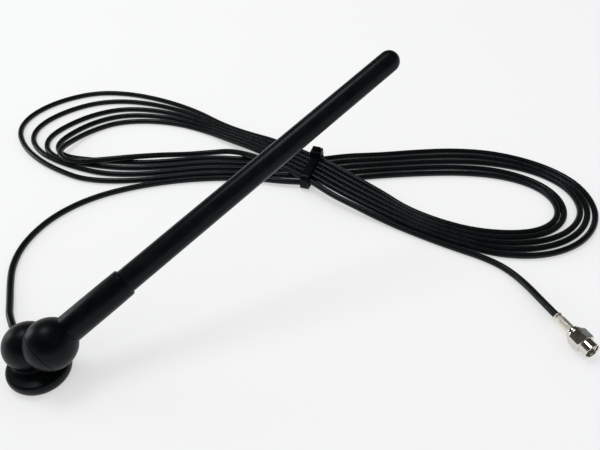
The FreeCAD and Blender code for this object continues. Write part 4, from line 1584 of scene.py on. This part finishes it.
    def measure(self, piece: bpy.types.Object) -> float:
        """Length of the lead's centreline, in metres."""
        bevel = piece.data.bevel_depth
        piece.data.bevel_depth = 0.0
        line = bpy.data.meshes.new_from_object(piece)
        piece.data.bevel_depth = bevel
        length = sum((line.vertices[edge.vertices[0]].co - line.vertices[edge.vertices[1]].co).length
                     for edge in line.edges)
        bpy.data.meshes.remove(line)
        return length


# The tie


@dataclass
class CableTie:
    """Strap round the hank's crossing, with its square head and the cut end of the strap.

    Attributes:
        centre: Middle of the crossing on the floor.
        span_direction: Direction of the strap's long side.
        span: Length of the strap's long side.
        rise: Height of the strap's loop.
        thick: Thickness of the strap.
        width: Width of the strap.
        corner: Radius of the loop's corners.
        edge_round: Radius of the strap's rounded edges.
        head: Width, length and height of the head.
        head_round: Radius of the head's rounded edges.
        head_place: Where the head sits, from the middle along the span.
        slot_room: How much wider and longer the slot in the head is than the strap.
        slot_height: Height of the block that cuts the slot, half of it in the head.
        tail: Length of the strap's cut end above the loop.
        tail_round: Radius of the cut end's rounded edges.
    """

    centre: Place = (109.9, 136.4, 0.0)
    span_direction: Place = (0.31, 0.95, 0.0)
    span: float = 31.0
    rise: float = 9.3
    thick: float = 1.1
    width: float = 4.6
    corner: float = 3.4
    edge_round: float = 0.2
    head: Place = (6.4, 6.0, 4.2)
    head_round: float = 0.6
    head_place: float = 8.5
    slot_room: float = 0.5
    slot_height: float = 1.6
    tail: float = 5.0
    tail_round: float = 0.15

    def place(self) -> Matrix:
        """Frame of the tie: X along the span, Y across it, Z up."""
        span = Vector(self.span_direction).normalized()
        across = Vector((0, 0, 1)).cross(span)
        turn = Matrix((span, across, Vector((0, 0, 1)))).transposed()
        return Matrix.Translation(mm(*self.centre)) @ turn.to_4x4()

    def make(self, finishes: Finishes) -> bpy.types.Object:
        """Builds the strap and its head as one piece.

        Args:
            finishes: The antenna's finishes.

        Returns:
            The tie.
        """
        strap = self._strap()
        for part in (self._head(), self._end()):
            Bench.carve(strap, part, "UNION")
        Bench.close(strap)
        Bench.set_down(strap, self.place())
        Bench.smooth(strap, 32.0)
        Bench.even_out(strap)
        return dress(strap, finishes.tie, Body.BASE, Slot.TIE, "cable_tie")

    def _strap(self) -> bpy.types.Object:
        """Closed loop of the strap, rounded at its four corners."""
        strap = block("strap_tie", (self.span, self.width, self.rise), (0, 0, self.rise / 2))
        long_edges = [edge.index for edge in strap.data.edges
                      if abs(strap.data.vertices[edge.vertices[0]].co.y
                             - strap.data.vertices[edge.vertices[1]].co.y) > 0.5 * self.width * MM]
        Bench.edit("DESELECT", "EDGE")
        Bench.leave()
        for index in long_edges:
            strap.data.edges[index].select = True
        bpy.ops.object.mode_set(mode="EDIT")
        bpy.ops.mesh.bevel(offset=self.corner * MM, segments=8)
        Bench.leave()
        Bench.edit("DESELECT", "FACE")
        Bench.leave()
        for face in strap.data.polygons:
            face.select = abs(face.normal.y) > 0.9
        bpy.ops.object.mode_set(mode="EDIT")
        bpy.ops.mesh.delete(type="FACE")
        Bench.leave()
        wall = strap.modifiers.new("wall", "SOLIDIFY")
        wall.thickness = self.thick * MM
        wall.offset = -1.0
        edge = strap.modifiers.new("edge", "BEVEL")
        edge.width = self.edge_round * MM
        edge.segments = 2
        edge.limit_method = "ANGLE"
        edge.angle_limit = math.radians(50)
        Bench.apply(strap)
        return strap

    def _head(self) -> bpy.types.Object:
        """Square head, with the mouth of the slot that the strap runs through."""
        width, length, height = self.head
        foot = self.rise - self.thick
        head = block("head", (length, width, height), (self.head_place, 0, foot + height / 2))
        round_off(head, self.head_round, 3)
        slot = block("slot", (self.thick + self.slot_room, self.width + self.slot_room, self.slot_height),
                     (self.head_place, 0, foot + height))
        Bench.carve(head, slot)
        return head

    def _end(self) -> bpy.types.Object:
        """Cut end of the strap, standing out of the head."""
        end = block("end", (self.thick, self.width, self.tail),
                    (self.head_place, 0, self.rise + self.tail / 2))
        round_off(end, self.tail_round, 2)
        return end


# The studio


@dataclass
class Studio:
    """White table, soft lights, surroundings and camera. Its places and sizes are in metres.

    Attributes:
        table_size: Side of the table.
        table_white: How white the table is in plain light.
        table_glow: Share of pure white that the camera and reflections see on it.
        daylight: Strength of the plain light from all sides.
        walls: What shows round the table: height of a direction, from 0 to 1, and its colour.
        camera_place: Where the camera is.
        camera_pitch: Its pitch in degrees, from looking straight down.
        lens: Its focal length in millimetres.
        lights: The lamps: name, place, diameter and power.
        lamp_colour: Colour of the lamps.
        lamp_aim: Where the lamps point, in millimetres.
    """

    table_size: float = 6.0
    table_white: float = 0.9
    table_glow: float = 0.5
    daylight: float = 0.72
    walls: Sequence[tuple[float, Place]] = (
        (0.08, (1.0, 1.0, 1.0)), (0.15, (0.075, 0.095, 0.115)), (0.34, (0.06, 0.062, 0.06)),
        (0.55, (0.042, 0.032, 0.02)), (0.9, (0.05, 0.045, 0.04)),
    )
    camera_place: Place = (0.10305, -0.15048, 0.200)
    camera_pitch: float = 50.5
    lens: float = 36.6
    lights: Sequence[tuple[str, Place, float, float]] = field(default_factory=lambda: (
        ("overhead_light", (-0.26, 0.32, 1.05), 0.45, 3.0),
        ("window_light", (-1.1, 0.45, 0.32), 0.45, 2.4),
    ))
    lamp_colour: Place = (0.94, 0.98, 1.0)
    lamp_aim: Place = (93.0, 89.0, 20.0)

    def make(self) -> None:
        """Builds all of it."""
        self._table()
        self._world()
        self._lights()
        self._camera()

    def _table(self) -> None:
        """White table that keeps the object's shadow and shows white in reflections."""
        Bench.clear()
        bpy.ops.mesh.primitive_plane_add(size=self.table_size)
        table = bpy.context.object
        table.name = "table"
        material = bpy.data.materials.new("white_table")
        material.use_nodes = True
        nodes = material.node_tree.nodes
        links = material.node_tree.links
        nodes.clear()
        out = nodes.new("ShaderNodeOutputMaterial")
        lit = nodes.new("ShaderNodeBsdfDiffuse")
        lit.inputs["Color"].default_value = (self.table_white, self.table_white, self.table_white, 1.0)
        glow = nodes.new("ShaderNodeEmission")
        glow.inputs["Color"].default_value = (1.0, 1.0, 1.0, 1.0)
        mix = nodes.new("ShaderNodeMixShader")
        links.new(self._seen(nodes, links, self.table_glow), mix.inputs["Fac"])
        links.new(lit.outputs["BSDF"], mix.inputs[1])
        links.new(glow.outputs["Emission"], mix.inputs[2])
        links.new(mix.outputs["Shader"], out.inputs["Surface"])
        table.data.materials.append(material)

    @staticmethod
    def _seen(nodes: bpy.types.Nodes, links: bpy.types.NodeLinks, share: float) -> bpy.types.NodeSocket:
        """Share of the white shown to camera, glossy and transmission rays.

        Args:
            nodes: Nodes of the material or world.
            links: Links of the same tree.
            share: Largest share of white.

        Returns:
            The share for the ray at hand.
        """
        path = nodes.new("ShaderNodeLightPath")
        both = nodes.new("ShaderNodeMath")
        both.operation = "MAXIMUM"
        links.new(path.outputs["Is Camera Ray"], both.inputs[0])
        links.new(path.outputs["Is Glossy Ray"], both.inputs[1])
        every = nodes.new("ShaderNodeMath")
        every.operation = "MAXIMUM"
        links.new(both.outputs[0], every.inputs[0])
        links.new(path.outputs["Is Transmission Ray"], every.inputs[1])
        scaled = nodes.new("ShaderNodeMath")
        scaled.operation = "MULTIPLY"
        scaled.inputs[1].default_value = share
        links.new(every.outputs[0], scaled.inputs[0])
        return scaled.outputs[0]

    def _world(self) -> None:
        """Plain light for the object, and what the camera, metal and gloss see round the table."""
        world = bpy.data.worlds.new("room")
        bpy.context.scene.world = world
        world.use_nodes = True
        nodes = world.node_tree.nodes
        links = world.node_tree.links
        nodes.clear()
        out = nodes.new("ShaderNodeOutputWorld")
        plain = nodes.new("ShaderNodeBackground")
        plain.inputs["Color"].default_value = (1.0, 1.0, 1.0, 1.0)
        plain.inputs["Strength"].default_value = self.daylight
        seen = nodes.new("ShaderNodeBackground")
        links.new(self._walls(nodes, links), seen.inputs["Color"])
        shown = nodes.new("ShaderNodeMixShader")
        links.new(self._seen(nodes, links, 1.0), shown.inputs["Fac"])
        links.new(plain.outputs[0], shown.inputs[1])
        links.new(seen.outputs[0], shown.inputs[2])
        links.new(shown.outputs[0], out.inputs["Surface"])

    def _walls(self, nodes: bpy.types.Nodes, links: bpy.types.NodeLinks) -> bpy.types.NodeSocket:
        """White backdrop up to a little above the horizon, and a dim room over it.

        Args:
            nodes: Nodes of the world.
            links: Links of the same tree.

        Returns:
            The colour seen in a direction.
        """
        direction = nodes.new("ShaderNodeTexCoord")
        parts = nodes.new("ShaderNodeSeparateXYZ")
        links.new(direction.outputs["Generated"], parts.inputs[0])
        ramp = nodes.new("ShaderNodeValToRGB")
        links.new(parts.outputs["Z"], ramp.inputs["Fac"])
        stops = ramp.color_ramp.elements
        for index, (height, colour) in enumerate(self.walls):
            stop = stops[index] if index < 2 else stops.new(height)
            stop.position = height
            stop.color = (*colour, 1.0)
        return ramp.outputs["Color"]

    def _lights(self) -> None:
        """Large soft lamps, each aimed at the middle of the object."""
        aim = mm(*self.lamp_aim)
        for name, place, size, power in self.lights:
            lamp = bpy.data.lights.new(name, "AREA")
            lamp.shape = "DISK"
            lamp.size = size
            lamp.energy = power
            lamp.color = self.lamp_colour
            holder = bpy.data.objects.new(name, lamp)
            holder.location = place
            holder.rotation_euler = (aim - Vector(place)).to_track_quat("-Z", "Y").to_euler()
            bpy.context.scene.collection.objects.link(holder)

    def _camera(self) -> None:
        """Camera at the photograph's viewing angle."""
        data = bpy.data.cameras.new("camera")
        data.lens = self.lens
        data.sensor_width = 36.0
        data.clip_start = 0.005
        data.clip_end = 20.0
        camera = bpy.data.objects.new("camera", data)
        camera.location = self.camera_place
        camera.rotation_euler = (math.radians(self.camera_pitch), 0.0, 0.0)
        bpy.context.scene.collection.objects.link(camera)
        bpy.context.scene.camera = camera
        bpy.context.scene.view_settings.view_transform = "Standard"


def main() -> None:
    """Builds the antenna piece by piece."""
    logging.basicConfig(level=logging.INFO, format="%(message)s")
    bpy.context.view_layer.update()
    finishes = Finishes()
    finishes.dress_nodes()
    Foot().make(finishes)
    BallCap().make(finishes)
    TurningBall().make(finishes)
    Sleeve().make(finishes)
    WhipTube().make(finishes)
    StrainRelief().make(finishes)
    lead = CoaxialLead()
    cable = lead.make(finishes)
    LOG.info("coaxial lead: %.4f m along its middle", lead.measure(cable))
    on_lead = [CableTie().make(finishes), Ferrule().make(finishes), *PlugBody().make(finishes),
               CouplingNut().make(finishes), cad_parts["nut_clip"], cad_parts["nut_gasket"]]
    Studio().make()
    bpy.context.view_layer.update()


if __name__ == "__main__":
    main()
